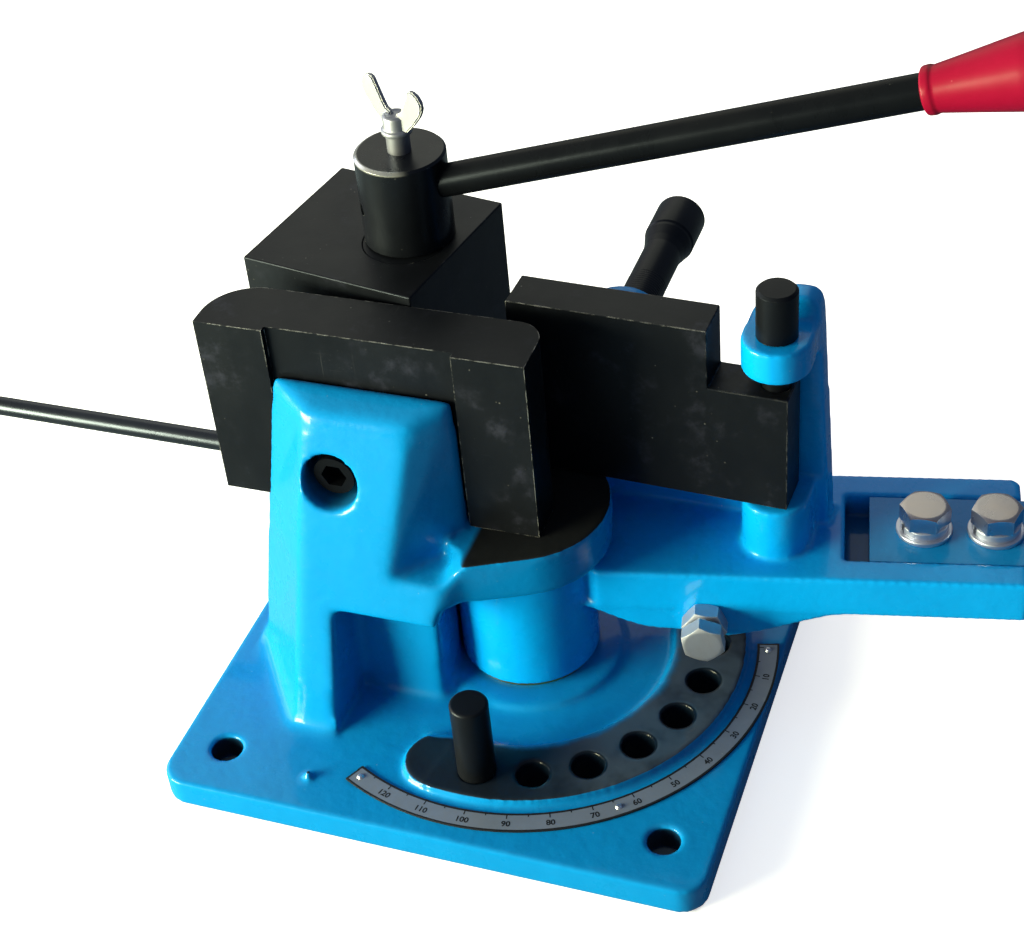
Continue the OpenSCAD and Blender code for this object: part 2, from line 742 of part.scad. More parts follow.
module clamp_shaft() {
    color(black) at_clamp() difference() {
        union() {
            translate([0, 0, clamp_low_z]) cylinder(d = clamp_shaft_d, h = block_z - clamp_low_z + eps);
            translate([0, -throw, block_z]) cylinder(d = eccentric_d, h = block_h - 0.3);
            translate([0, 0, block_top - eps]) cylinder(d = spigot_d, h = spigot_top - block_top + eps);
        }
        rotate(hub_pin_turn) rod_x_dir(0, hub_pin_z, -spigot_d, spigot_d, hub_pin_d);
        // Groove of the retaining ring
        translate([0, 0, clamp_low_z + 4]) difference() {
            cylinder(d = clamp_shaft_d + 2, h = 2);
            translate([0, 0, -eps]) cylinder(d = clamp_shaft_d - 3, h = 4);
        }
    }
}

module shaft_ring() {
    color(zinc) at_clamp() translate([0, 0, clamp_low_z + 4]) difference() {
        cylinder(d = clamp_shaft_d + 4, h = 2);
        translate([0, 0, -eps]) cylinder(d = clamp_shaft_d - 3, h = 4);
        translate([-2.5, 0, -eps]) cube([5, clamp_shaft_d, 4]);
    }
}

module clamp_hub() {
    color(black) difference() {
        at_clamp() translate([0, 0, hub_z]) cylinder(d = hub_d, h = hub_h - 1);
        at_clamp() translate([0, 0, hub_z - eps]) cylinder(d = spigot_d, h = spigot_top - hub_z + eps);
        at_clamp_lever() translate([0, 0, lever_in]) cylinder(d = clamp_rod_d, h = hub_d);
        at_clamp() translate([0, 0, spigot_top - eps])
            cylinder(d = wing_d + 2 * run, h = hub_top - spigot_top + 2 * eps);
        at_clamp() rotate(hub_pin_turn) rod_x_dir(0, hub_pin_z, -hub_d, hub_d, hub_pin_d);
    }
    color(black) at_clamp() translate([0, 0, hub_top - 1]) difference() {
        cylinder(d1 = hub_d, d2 = hub_d - 2, h = 1);
        translate([0, 0, -eps]) cylinder(d = wing_d + 2 * run, h = 3);
    }
}

module hub_pin() {
    color(zinc) at_clamp() rotate(hub_pin_turn)
        rod_x_dir(0, hub_pin_z, -hub_d / 2 + 0.8, hub_d / 2 - 0.8, hub_pin_d);
}

module clamp_lever() {
    color(black) at_clamp_lever() translate([0, 0, lever_in])
        cylinder(d = clamp_rod_d, h = clamp_rod_l - lever_in);
}

module clamp_grip() {
    color(red) at_clamp_lever() translate([0, 0, clamp_grip_from]) rotate_extrude()
        polygon([[clamp_rod_d / 2, 0], [clamp_grip_r, 0], [clamp_grip_r, 3],
            [clamp_grip_r - 0.3, 4.2], [clamp_grip_r + 5.3, 38], [clamp_grip_r + 6.4, 58],
            [clamp_grip_r + 5.8, 80], [clamp_grip_r + 4, 98],
            [clamp_grip_r - 1, clamp_rod_l - clamp_grip_from + 6],
            [0, clamp_rod_l - clamp_grip_from + 6], [0, clamp_rod_l - clamp_grip_from],
            [clamp_rod_d / 2, clamp_rod_l - clamp_grip_from]]);
}

module wing_screw() {
    color(zinc) at_clamp() {
        translate([0, 0, wing_low]) cylinder(d = wing_d, h = hub_top + 9 - wing_low);
        translate([0, 0, hub_top + 9]) cylinder(d1 = wing_d + 3, d2 = wing_d + 1, h = 8);
        for (s = [0, 180])
            rotate(s + wing_turn) rotate([90, 0, 0]) translate([0, 0, -1.5]) linear_extrude(3)
                polygon([[3, hub_top + 10], [6, hub_top + 10], [12, hub_top + 19], [17, hub_top + 32],
                    [12.5, hub_top + 34], [7.5, hub_top + 23], [3, hub_top + 17]]);
    }
}

module clamp_block() {
    color(black) at_clamp() difference() {
        rotate(block_turn) translate([block_cx - block_w / 2, block_cy - block_d / 2, block_z])
            cube([block_w, block_d, block_h]);
        translate([0, -throw, block_z - eps]) cylinder(d = eccentric_d + 2 * run, h = block_h + 2 * eps);
    }
}

module stop_collar() {
    color(black) difference() {
        union() {
            box([collar_x - collar_w / 2, rod_y - collar_h / 2, rod_z - collar_h / 2],
                [collar_x + collar_w / 2, rod_y + collar_h / 2, rod_z + collar_h / 2]);
            box([collar_x + collar_w / 2 - finger_t, die_y1 - 2, rod_z - collar_h / 2],
                [collar_x + collar_w / 2, rod_y + collar_h / 2, table_z + 45]);
        }
        rod_x_dir(rod_y, rod_z, collar_x - collar_w, collar_x + collar_w, rod_d + 2 * run);
        rod_y_dir(collar_x - 2, rod_z, rod_y - collar_h, rod_y, thumb_d + 2 * run);
    }
}

module collar_screw() {
    color(zinc) {
        rod_y_dir(collar_x - 2, rod_z, rod_y - collar_h / 2 - 3, rod_y - rod_d / 2 - gap, thumb_d);
        rod_y_dir(collar_x - 2, rod_z, rod_y - collar_h / 2 - 11, rod_y - collar_h / 2 - 3, 16);
    }
}

base_casting();
angle_scale();
scale_rivets();
front_die();
die_screw();
pivot_shaft();
thrust_washer();
clamp_bush();
stop_rod();
rod_nut();
swing_arm();
arm_bushes();
main_lever();
lever_grip();
lever_bolts();
lever_washers();
spring_washers();
lever_nuts();
stop_lock_nut();
stop_bolt();
bending_die();
die_pin();
adjust_screw();
stop_pin();
clamp_shaft();
clamp_hub();
hub_pin();
clamp_lever();
clamp_grip();
shaft_ring();
clamp_block();
wing_screw();
stop_collar();
collar_screw();
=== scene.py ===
"""Bench bar bender: blue castings, black dies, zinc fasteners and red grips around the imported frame."""
import math

import bmesh
import bpy
from mathutils import Matrix, Vector


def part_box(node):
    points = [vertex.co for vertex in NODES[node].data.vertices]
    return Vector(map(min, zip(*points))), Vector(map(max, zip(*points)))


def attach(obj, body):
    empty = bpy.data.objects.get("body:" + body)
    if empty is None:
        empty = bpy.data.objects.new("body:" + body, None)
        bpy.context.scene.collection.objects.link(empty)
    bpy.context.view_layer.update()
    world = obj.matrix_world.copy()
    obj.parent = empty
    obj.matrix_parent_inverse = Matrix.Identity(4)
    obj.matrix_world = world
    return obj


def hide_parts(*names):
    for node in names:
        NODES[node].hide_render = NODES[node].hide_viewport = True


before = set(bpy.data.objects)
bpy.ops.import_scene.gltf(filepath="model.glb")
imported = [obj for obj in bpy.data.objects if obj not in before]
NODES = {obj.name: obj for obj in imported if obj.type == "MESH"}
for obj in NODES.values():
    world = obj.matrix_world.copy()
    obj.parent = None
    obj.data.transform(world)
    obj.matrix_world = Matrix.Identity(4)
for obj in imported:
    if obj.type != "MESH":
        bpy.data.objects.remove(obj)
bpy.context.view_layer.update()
MM = 0.001

# Base, in millimetres and degrees as in the CAD source

PLATE_TOP, PLATE_HALF_X, PLATE_HALF_Y = 13.5, 121.5, 114.5
BASE_HOLE_X, BASE_HOLE_Y, BASE_HOLE_R = 99.0, 90.0, 7.0
LAND_TOP, LAND_INNER, LAND_OUTER = 17.0, 64.5, 97.0
STOP_R, STOP_FIRST, STOP_STEP, STOP_COUNT, STOP_HOLE_R = 82.0, -88.0, 16.7, 7, 7.0
STOP_PIN_SUNK, STOP_SHANK_R, STOP_SHOULDER = 2.6, 6.95, 17.4
TABLE_TOP, TABLE_R = 100.0, 40.0
COUNTERBORE_X, COUNTERBORE_Z, COUNTERBORE_R = -54.5, 131.0, 12.9
COLUMN_SLOPE, COLUMN_FOOT_Y = 0.2575, -73.46
NUB_X, NUB_Y = -56.8, -96.5
SCALE_TOP, SCALE_INNER, SCALE_OUTER = 14.3, 101.5, 111.2
SCALE_FROM, SCALE_TO = -117.5, 14.0

# Swing arm, with u along it and v across it from the pivot

PIVOT, ARM_ANGLE = (10.5, 5.0), 11.3
POCKET_U, POCKET_HALF, POCKET_FLOOR = 138.5, 21.6, 63.0
TANG_TOP, TANG_V = 74.0, 17.0
LEVER_BOLTS_U, LEVER_BOLT_LOW, LEVER_HEAD_LOW = (172.0, 202.0), 43.0, 80.0
BAR_Z, BAR_R, LEVER_GRIP_U = 68.5, 12.5, 439.0
STOP_BOLT_U, STOP_BOLT_V, STOP_BOLT_Z = 80.0, -18.0, 50.5
ADJUST_X, ADJUST_Z = 46.0, 160.0
DIE_PIN_X, DIE_PIN_Y = 116.0, 34.0

# Clamp

CLAMP_AXIS = (-49.7, 59.6)
HUB_TOP, HUB_R = 232.4, 19.5
WING_LOW, WING_TURN = 213.9, -26.0
CLAMP_LEVER_Z, CLAMP_LEVER_TILT = 214.1, 17.5
CLAMP_ROD_R, CLAMP_GRIP_FROM = 7.0, 225.0


# Shader helpers

def group(name, inputs, outputs):
    """A shader node group with named sockets; gives the tree, its input node and its output node."""
    tree = bpy.data.node_groups.new(name, "ShaderNodeTree")
    for socket, value in inputs:
        made = tree.interface.new_socket(socket, in_out="INPUT", socket_type="NodeSocketFloat")
        made.default_value = value
    for socket in outputs:
        tree.interface.new_socket(socket, in_out="OUTPUT", socket_type="NodeSocketFloat")
    return tree, tree.nodes.new("NodeGroupInput"), tree.nodes.new("NodeGroupOutput")


def node(tree, kind, links=None, **values):
    """A node with its settings; links maps an input's name or number to an output socket or a value."""
    made = tree.nodes.new(kind)
    for key, value in values.items():
        setattr(made, key, value)
    for key, value in (links or {}).items():
        if isinstance(value, bpy.types.NodeSocket):
            tree.links.new(value, made.inputs[key])
        else:
            made.inputs[key].default_value = value
    return made


def calc(tree, operation, a, b=0.0, c=0.0, clamp=False):
    made = node(tree, "ShaderNodeMath", {0: a, 1: b, 2: c}, operation=operation, use_clamp=clamp)
    return made.outputs[0]


def times(tree, first, *others):
    for other in others:
        first = calc(tree, "MULTIPLY", first, other)
    return first


def less(tree, value, place):
    """How far a coordinate is past a place in mm."""
    return calc(tree, "SUBTRACT", value, place * MM)


def span(tree, a, b):
    """Length of the offset (a, b)."""
    return calc(tree, "SQRT", calc(tree, "MULTIPLY_ADD", a, a, times(tree, b, b)))


def ramp(tree, value, low, high):
    """0 at low, 1 at high, smooth between."""
    made = node(tree, "ShaderNodeMapRange", {0: value, 1: low, 2: high, 3: 0.0, 4: 1.0},
                interpolation_type="SMOOTHSTEP")
    return made.outputs[0]


def ramp_mm(tree, value, low, high):
    """The same ramp with its ends in mm."""
    return ramp(tree, value, low * MM, high * MM)


def noise(tree, vector, scale, detail, rough=0.5):
    made = node(tree, "ShaderNodeTexNoise", {"Vector": vector, "Scale": scale, "Detail": detail,
                                             "Roughness": rough})
    return made.outputs["Fac"]


def spot(tree, stretch=(1, 1, 1), turn=(0, 0, 0)):
    """Object coordinates in metres, stretched and turned."""
    place = node(tree, "ShaderNodeTexCoord").outputs["Object"]
    if stretch == (1, 1, 1) and turn == (0, 0, 0):
        return place
    made = node(tree, "ShaderNodeMapping", {"Vector": place})
    made.inputs["Scale"].default_value = stretch
    made.inputs["Rotation"].default_value = [math.radians(a) for a in turn]
    return made.outputs["Vector"]


def xyz(tree, vector):
    parts = node(tree, "ShaderNodeSeparateXYZ", {0: vector})
    return [parts.outputs[i] for i in range(3)]


def facing_up(tree):
    return xyz(tree, node(tree, "ShaderNodeNewGeometry").outputs["Normal"])[2]


def from_axis(tree, x, y, axis):
    """Offsets from an upright axis and the distance from it."""
    dx = less(tree, x, axis[0])
    dy = less(tree, y, axis[1])
    return dx, dy, span(tree, dx, dy)


# Shared shader effects

SWELL_HEIGHT, PEEL_HEIGHT, GRIT_HEIGHT = 1.6, 0.32, 0.07
CLOUD_TINT, PEEL_TINT = 0.7, 0.3
EDGE_BEND = (0.99, 0.86)
CHIP_START = (0.5, 0.64)
SCRATCH_RUNS = (((900, 26, 900), (10, 0, 25)), ((30, 800, 800), (0, 18, 40)), ((700, 700, 24), (14, 8, 0)))
SCRATCH_LINE = (0.68, 0.78)
BARE_PATCH, DENSE_PATCH, PATCH_GAIN = 0.86, -0.5, 2.2
SPECK_SCALE, SPECK_SIZE, SPECK_AREA = 260.0, (0.12, 0.05), (0.56, 0.66)
FILM_AMOUNT, FILM_LEVEL = 0.05, (0.4, 0.95)


def make_cast_skin():
    """Relief, tint and gloss of paint over a sand casting."""
    tree, given, out = group("cast_skin", [("Grain", 1.0)], ["Relief", "Tint", "Gloss"])
    place = spot(tree)
    swell = noise(tree, place, scale=30, detail=2)
    peel = noise(tree, place, scale=240, detail=2)
    grit = noise(tree, place, scale=900, detail=3, rough=0.6)
    cloud = noise(tree, place, scale=16, detail=4, rough=0.6)
    relief = calc(tree, "MULTIPLY_ADD", swell, SWELL_HEIGHT, times(tree, peel, PEEL_HEIGHT))
    relief = calc(tree, "MULTIPLY_ADD", grit, GRIT_HEIGHT, relief)
    tree.links.new(times(tree, relief, given.outputs["Grain"]), out.inputs["Relief"])
    tint = calc(tree, "MULTIPLY_ADD", cloud, CLOUD_TINT, times(tree, peel, PEEL_TINT))
    tree.links.new(tint, out.inputs["Tint"])
    tree.links.new(noise(tree, place, scale=55, detail=4, rough=0.65), out.inputs["Gloss"])
    return tree


def make_edge_rub():
    """Mask that is 1 on sharp edges, broken up by noise."""
    tree, given, out = group("edge_rub", [("Width", 0.0008), ("Amount", 0.5)], ["Mask"])
    flat = node(tree, "ShaderNodeNewGeometry").outputs["Normal"]
    soft = node(tree, "ShaderNodeBevel", {"Radius": given.outputs["Width"]}, samples=4).outputs["Normal"]
    dot = node(tree, "ShaderNodeVectorMath", {0: flat, 1: soft}, operation="DOT_PRODUCT").outputs["Value"]
    edge = ramp(tree, dot, *EDGE_BEND)
    chips = noise(tree, spot(tree), scale=150, detail=5, rough=0.7)
    chips = calc(tree, "ADD", chips, calc(tree, "SUBTRACT", given.outputs["Amount"], 0.5))
    tree.links.new(times(tree, edge, ramp(tree, chips, *CHIP_START)), out.inputs["Mask"])
    return tree


def make_scuffs():
    """Fine stretched scratches, in patches, and cloudy smudges."""
    tree, given, out = group("scuffs", [("Density", 0.5)], ["Scratch", "Smudge"])
    wear_and_sheen = None
    for stretch, turn in SCRATCH_RUNS:
        run = noise(tree, spot(tree, stretch, turn), scale=1.0, detail=2, rough=0.4)
        line = ramp(tree, run, *SCRATCH_LINE)
        wear_and_sheen = line if wear_and_sheen is None else calc(tree, "MAXIMUM", wear_and_sheen, line)
    patch = noise(tree, spot(tree), scale=24, detail=4, rough=0.6)
    start = calc(tree, "MULTIPLY_ADD", given.outputs["Density"], DENSE_PATCH, BARE_PATCH)
    where = node(tree, "ShaderNodeMapRange", {0: patch, 1: start, 2: 1.0, 3: 0.0, 4: PATCH_GAIN}).outputs[0]
    tree.links.new(calc(tree, "MULTIPLY", wear_and_sheen, where, clamp=True), out.inputs["Scratch"])
    smudge = noise(tree, spot(tree, (1, 1, 0.6)), scale=38, detail=5, rough=0.62)
    tree.links.new(smudge, out.inputs["Smudge"])
    return tree


def make_dust():
    """Loose specks, and a thin film on faces turned up."""
    tree, given, out = group("dust", [("Amount", 0.5)], ["Mask"])
    specks = node(tree, "ShaderNodeTexVoronoi", {"Vector": spot(tree), "Scale": SPECK_SCALE,
                                                 "Randomness": 1.0}).outputs["Distance"]
    dots = ramp(tree, specks, *SPECK_SIZE)
    thin = ramp(tree, noise(tree, spot(tree), scale=70, detail=2), *SPECK_AREA)
    film = times(tree, noise(tree, spot(tree), scale=45, detail=5, rough=0.6), FILM_AMOUNT,
                 ramp(tree, facing_up(tree), *FILM_LEVEL))
    lying = calc(tree, "MULTIPLY_ADD", dots, thin, film)
    tree.links.new(calc(tree, "MULTIPLY", lying, given.outputs["Amount"], clamp=True), out.inputs["Mask"])
    return tree


CAST_SKIN = make_cast_skin()
EDGE_RUB = make_edge_rub()
SCUFFS = make_scuffs()
DUST = make_dust()


# Materials

class Finish:
    """One material: its tree, its shader, and short ways to place groups and mixes."""

    def __init__(self, name, **constants):
        self.material = bpy.data.materials.new(name)
        self.material.use_nodes = True
        self.tree = self.material.node_tree
        self.shader = self.tree.nodes["Principled BSDF"]
        for socket, value in constants.items():
            self.shader.inputs[socket.replace("_", " ")].default_value = value

    def use(self, tree, **values):
        made = self.tree.nodes.new("ShaderNodeGroup")
        made.node_tree = tree
        for socket, value in values.items():
            made.inputs[socket].default_value = value
        return made.outputs

    def mix(self, mask, a, b):
        """Colour a where the mask is 0, b where it is 1."""
        made = node(self.tree, "ShaderNodeMix", data_type="RGBA")
        for index, value in ((0, mask), (6, a), (7, b)):
            if isinstance(value, bpy.types.NodeSocket):
                self.tree.links.new(value, made.inputs[index])
            else:
                made.inputs[index].default_value = value if index == 0 else (*value, 1.0)
        return made.outputs[2]

    def blend(self, mask, a, b):
        """Number a where the mask is 0, b where it is 1."""
        return node(self.tree, "ShaderNodeMix", {0: mask, 2: a, 3: b}).outputs[0]

    def feed(self, socket, value):
        self.tree.links.new(value, self.shader.inputs[socket])

    def bump(self, height, distance):
        made = node(self.tree, "ShaderNodeBump", {"Height": height, "Distance": distance})
        self.feed("Normal", made.outputs["Normal"])


PAINT_DEEP, PAINT_PALE = (0.0, 0.176, 0.51), (0.0015, 0.234, 0.63)
# Edges lighter cyan: rubbed paint and a painted edge highlight
PAINT_RUBBED_HIGHLIGHT, PAINT_DUST = (0.1, 0.5, 0.75), (0.3, 0.48, 0.6)


def blue_paint(name, bare_and_shaded_places=None, shade=1.0):
    """Glossy blue paint over a casting.

    The places function gives a mask, a colour and a roughness of the places without clean paint: bare metal,
    and painted shade in holes and the lever's pocket.
    """
    fin = Finish(name, IOR=1.5, Specular_IOR_Level=0.1, Coat_Weight=0.3, Coat_Roughness=0.08)
    skin = fin.use(CAST_SKIN, Grain=1.0)
    rub = fin.use(EDGE_RUB, Width=0.0025, Amount=0.4)["Mask"]
    dust = fin.use(DUST, Amount=0.22)["Mask"]
    deep, pale = ((red, green * shade, blue * shade) for red, green, blue in (PAINT_DEEP, PAINT_PALE))
    colour = fin.mix(skin["Tint"], deep, pale)
    # Rubbed paint and a painted highlight on the edges
    colour = fin.mix(rub, colour, PAINT_RUBBED_HIGHLIGHT)
    colour = fin.mix(dust, colour, PAINT_DUST)
    rough = fin.blend(skin["Gloss"], 0.2, 0.36)
    # Bare metal, and painted shade, over the paint
    if bare_and_shaded_places:
        mask, bare_and_shade, bare_and_shade_rough = bare_and_shaded_places(fin)
        colour = fin.mix(mask, colour, bare_and_shade)
        rough = fin.blend(mask, rough, bare_and_shade_rough)
    fin.feed("Base Color", colour)
    fin.feed("Roughness", rough)
    fin.bump(skin["Relief"], 0.00045)
    return fin.material


LEVEL_FACE = (0.62, 0.86)
TABLE_PAINT_EDGE = (-1.0, 2.5)
LAND_PAINT_EDGE, LAND_PAINT_RAGGED = (66.5, 72.5), 6.0
# Painted shade in the die screw's counterbore: its depth, its back and its strength
COUNTERBORE_DEPTH, COUNTERBORE_BACK, COUNTERBORE_SHADE = (0.4, 6.0), (-12.0, -16.0), 0.7
# Land lighter towards its right by angle about the pivot, in oily patches: painted reflection and wear
WORN_OIL, SHEEN_ANGLE, WEAR_SHEEN_AMOUNT = (0.36, 0.62), (-1.35, -0.7), 0.9
LAND_OILED, LAND_WORN_SHEEN = (0.007, 0.012, 0.023), (0.055, 0.08, 0.125)
TABLE_OILED, TABLE_DRY = (0.006, 0.0068, 0.0085), (0.015, 0.0165, 0.019)
# Near black painted as shade inside the holes
HOLE_SHADE = (0.002, 0.006, 0.014)


def machined_level(tree, z, top, reach):
    """1 on a machined level, from just below it to reach above it in mm."""
    return times(tree, ramp_mm(tree, z, top - 1.0, top - 0.5),
                 ramp_mm(tree, z, top + reach, top + reach - 0.6))


def stop_hole_distance(tree, radius, angle):
    """Distance from the axis of the nearest stop hole."""
    step = math.radians(STOP_STEP)
    first = math.radians(STOP_FIRST)
    nearest = calc(tree, "ROUND", calc(tree, "DIVIDE", calc(tree, "SUBTRACT", angle, first), step))
    nearest = calc(tree, "MINIMUM", calc(tree, "MAXIMUM", nearest, 0.0), STOP_COUNT - 1)
    off = calc(tree, "SUBTRACT", angle, calc(tree, "MULTIPLY_ADD", nearest, step, first))
    return span(tree, times(tree, off, STOP_R * MM), less(tree, radius, STOP_R))


def hole_insides(tree, x, y, z, stop_hole):
    """Mask of painted shade inside the stop holes and on their lips, inside the base holes and inside the
    die screw's counterbore.
    """
    base_hole = span(tree, less(tree, calc(tree, "ABSOLUTE", x), BASE_HOLE_X),
                     less(tree, calc(tree, "ABSOLUTE", y), BASE_HOLE_Y))
    base_hole = times(tree, ramp_mm(tree, base_hole, BASE_HOLE_R + 0.4, BASE_HOLE_R - 0.2),
                      ramp_mm(tree, z, PLATE_TOP - 0.7, PLATE_TOP - 1.7))
    stop_hole = ramp_mm(tree, stop_hole, STOP_HOLE_R + 1.6, STOP_HOLE_R + 0.8)
    bore = span(tree, less(tree, x, COUNTERBORE_X), less(tree, z, COUNTERBORE_Z))
    face = calc(tree, "MULTIPLY_ADD", z, COLUMN_SLOPE, COLUMN_FOOT_Y * MM)
    behind = calc(tree, "SUBTRACT", y, face)
    bore = times(tree, ramp_mm(tree, bore, COUNTERBORE_R + 0.2, COUNTERBORE_R - 0.2),
                 ramp_mm(tree, behind, *COUNTERBORE_DEPTH), ramp_mm(tree, y, *COUNTERBORE_BACK),
                 COUNTERBORE_SHADE)
    return calc(tree, "MAXIMUM", calc(tree, "MAXIMUM", stop_hole, base_hole), bore)


def base_bare_places(fin):
    """Machined table top and stop land, and painted shade inside the holes."""
    tree = fin.tree
    x, y, z = xyz(tree, spot(tree))
    dx, dy, radius = from_axis(tree, x, y, PIVOT)
    angle = calc(tree, "ARCTAN2", dy, dx)
    up = ramp(tree, facing_up(tree), *LEVEL_FACE)
    table = times(tree, up, machined_level(tree, z, TABLE_TOP, 1.4), ramp_mm(tree, x, *TABLE_PAINT_EDGE))
    ragged = noise(tree, spot(tree), scale=90, detail=4, rough=0.6)
    ragged = calc(tree, "MULTIPLY_ADD", ragged, LAND_PAINT_RAGGED * MM, radius)
    land = times(tree, up, machined_level(tree, z, LAND_TOP, 1.6), ramp_mm(tree, ragged, *LAND_PAINT_EDGE))
    hole_shade = hole_insides(tree, x, y, z, stop_hole_distance(tree, radius, angle))
    oil = noise(tree, spot(tree), scale=24, detail=4, rough=0.6)
    rings = node(tree, "ShaderNodeCombineXYZ", {0: radius}).outputs[0]
    tool_marks = noise(tree, rings, scale=2600, detail=2)
    # Lighter towards the right of the land: painted reflection, broken into wear patches
    wear_and_sheen = times(tree, ramp(tree, oil, *WORN_OIL), ramp(tree, angle, *SHEEN_ANGLE), WEAR_SHEEN_AMOUNT)
    bare_and_shade = fin.mix(land, fin.mix(oil, TABLE_OILED, TABLE_DRY), fin.mix(wear_and_sheen, LAND_OILED, LAND_WORN_SHEEN))
    # Painted shade inside the holes
    bare_and_shade = fin.mix(hole_shade, bare_and_shade, HOLE_SHADE)
    rough = calc(tree, "MULTIPLY_ADD", tool_marks, 0.2, 0.3)
    mask = calc(tree, "MAXIMUM", calc(tree, "MAXIMUM", table, land), hole_shade)
    return mask, bare_and_shade, rough


# Dark navy painted shade in the lever's pocket
POCKET_SHADE_DARK, POCKET_SHADE_PALE, POCKET_SHADE_AMOUNT = (0.001, 0.012, 0.03), (0.004, 0.022, 0.05), 0.75


def arm_bare_places(fin):
    """Painted shade in the lever's pocket, darker towards its floor."""
    tree = fin.tree
    x, y, z = xyz(tree, spot(tree))
    dx, dy, radius = from_axis(tree, x, y, PIVOT)
    turn = calc(tree, "SUBTRACT", calc(tree, "ARCTAN2", dy, dx), math.radians(ARM_ANGLE))
    along = times(tree, radius, calc(tree, "COSINE", turn))
    across = times(tree, radius, calc(tree, "SINE", turn))
    right, left = TANG_V - POCKET_HALF, TANG_V + POCKET_HALF
    pocket = times(tree, ramp_mm(tree, along, POCKET_U - 0.7, POCKET_U + 0.7),
                   ramp_mm(tree, across, right - 0.6, right + 0.6),
                   ramp_mm(tree, across, left + 0.6, left - 0.6),
                   ramp_mm(tree, z, TANG_TOP + 0.2, TANG_TOP - 1.5),
                   ramp_mm(tree, z, POCKET_FLOOR - 2.0, POCKET_FLOOR - 1.2))
    pocket_shade = times(tree, pocket, ramp_mm(tree, z, TANG_TOP - 0.5, TANG_TOP - 8.0), POCKET_SHADE_AMOUNT)
    patches = noise(tree, spot(tree), scale=60, detail=4)
    return pocket_shade, fin.mix(patches, POCKET_SHADE_DARK, POCKET_SHADE_PALE), 0.6


OXIDE_SHEEN = (0.6, 0.72, 1.0, 1.0)
OXIDE_DEEP, OXIDE_PALE = (0.0016, 0.002, 0.0032), (0.005, 0.0058, 0.008)
OXIDE_CLOUD, OXIDE_SCRATCH = (0.034, 0.036, 0.06), (0.06, 0.062, 0.072)
OXIDE_CHIP, OXIDE_LINT = (0.42, 0.425, 0.43), (0.2, 0.2, 0.2)


def black_oxide(name, gloss, rub, scratch, dust, shine=0.2, wear_and_sheen=None, blotch=0.0):
    """Oiled black oxide on steel, scuffed, with bright chips along the edges; a further mask gives more bare
    steel, on the hub a painted highlight.
    """
    fin = Finish(name, IOR=1.5, Specular_IOR_Level=shine, Specular_Tint=OXIDE_SHEEN)
    tree = fin.tree
    scuff = fin.use(SCUFFS, Density=scratch)
    edge = fin.use(EDGE_RUB, Width=0.0007, Amount=rub)["Mask"]
    if wear_and_sheen:
        # More bare steel; on the hub a painted highlight
        edge = calc(tree, "MAXIMUM", edge, wear_and_sheen(tree))
    lint = fin.use(DUST, Amount=dust)["Mask"]
    cloud = ramp(tree, noise(tree, spot(tree), scale=75, detail=6, rough=0.7), 0.5, 0.72)
    cloud = times(tree, cloud, ramp(tree, scuff["Smudge"], 0.42, 0.62), blotch)
    colour = fin.mix(scuff["Smudge"], OXIDE_DEEP, OXIDE_PALE)
    colour = fin.mix(cloud, colour, OXIDE_CLOUD)
    colour = fin.mix(times(tree, scuff["Scratch"], 0.4), colour, OXIDE_SCRATCH)
    colour = fin.mix(edge, colour, OXIDE_CHIP)
    fin.feed("Base Color", fin.mix(lint, colour, OXIDE_LINT))
    fin.feed("Metallic", times(tree, edge, 0.9))
    fin.feed("Roughness", fin.blend(scuff["Smudge"], gloss - 0.1, gloss + 0.16))
    fin.bump(calc(tree, "MULTIPLY_ADD", scuff["Scratch"], -0.4, scuff["Smudge"]), 0.00012)
    return fin.material


# Painted highlight: bare steel on the hub's rim only on the side the light comes from
HUB_LIGHT_TOWARD, HUB_HIGHLIGHT_REACH = (-0.77, -0.64), (2.0, 12.0)


def hub_rim(tree):
    """Mask of the top edge of the clamp hub, bare steel only on its front left side towards the light: a
    painted highlight.
    """
    x, y, z = xyz(tree, spot(tree))
    dx, dy, radius = from_axis(tree, x, y, CLAMP_AXIS)
    rim = times(tree, ramp_mm(tree, z, HUB_TOP - 1.9, HUB_TOP - 0.9),
                ramp_mm(tree, radius, HUB_R - 1.9, HUB_R - 1.1))
    lit_side = calc(tree, "MULTIPLY_ADD", dx, HUB_LIGHT_TOWARD[0], times(tree, dy, HUB_LIGHT_TOWARD[1]))
    broken = ramp(tree, noise(tree, spot(tree), scale=60, detail=4, rough=0.6), 0.3, 0.5)
    return times(tree, rim, ramp_mm(tree, lit_side, *HUB_HIGHLIGHT_REACH), broken)


ZINC_DARK, ZINC_BRIGHT, ZINC_SCRATCH = (0.33, 0.34, 0.4), (0.66, 0.7, 0.86), (0.3, 0.29, 0.27)
ZINC_BROWN_TOP, ZINC_EDGE = (0.34, 0.26, 0.2), (0.9, 0.9, 0.9)


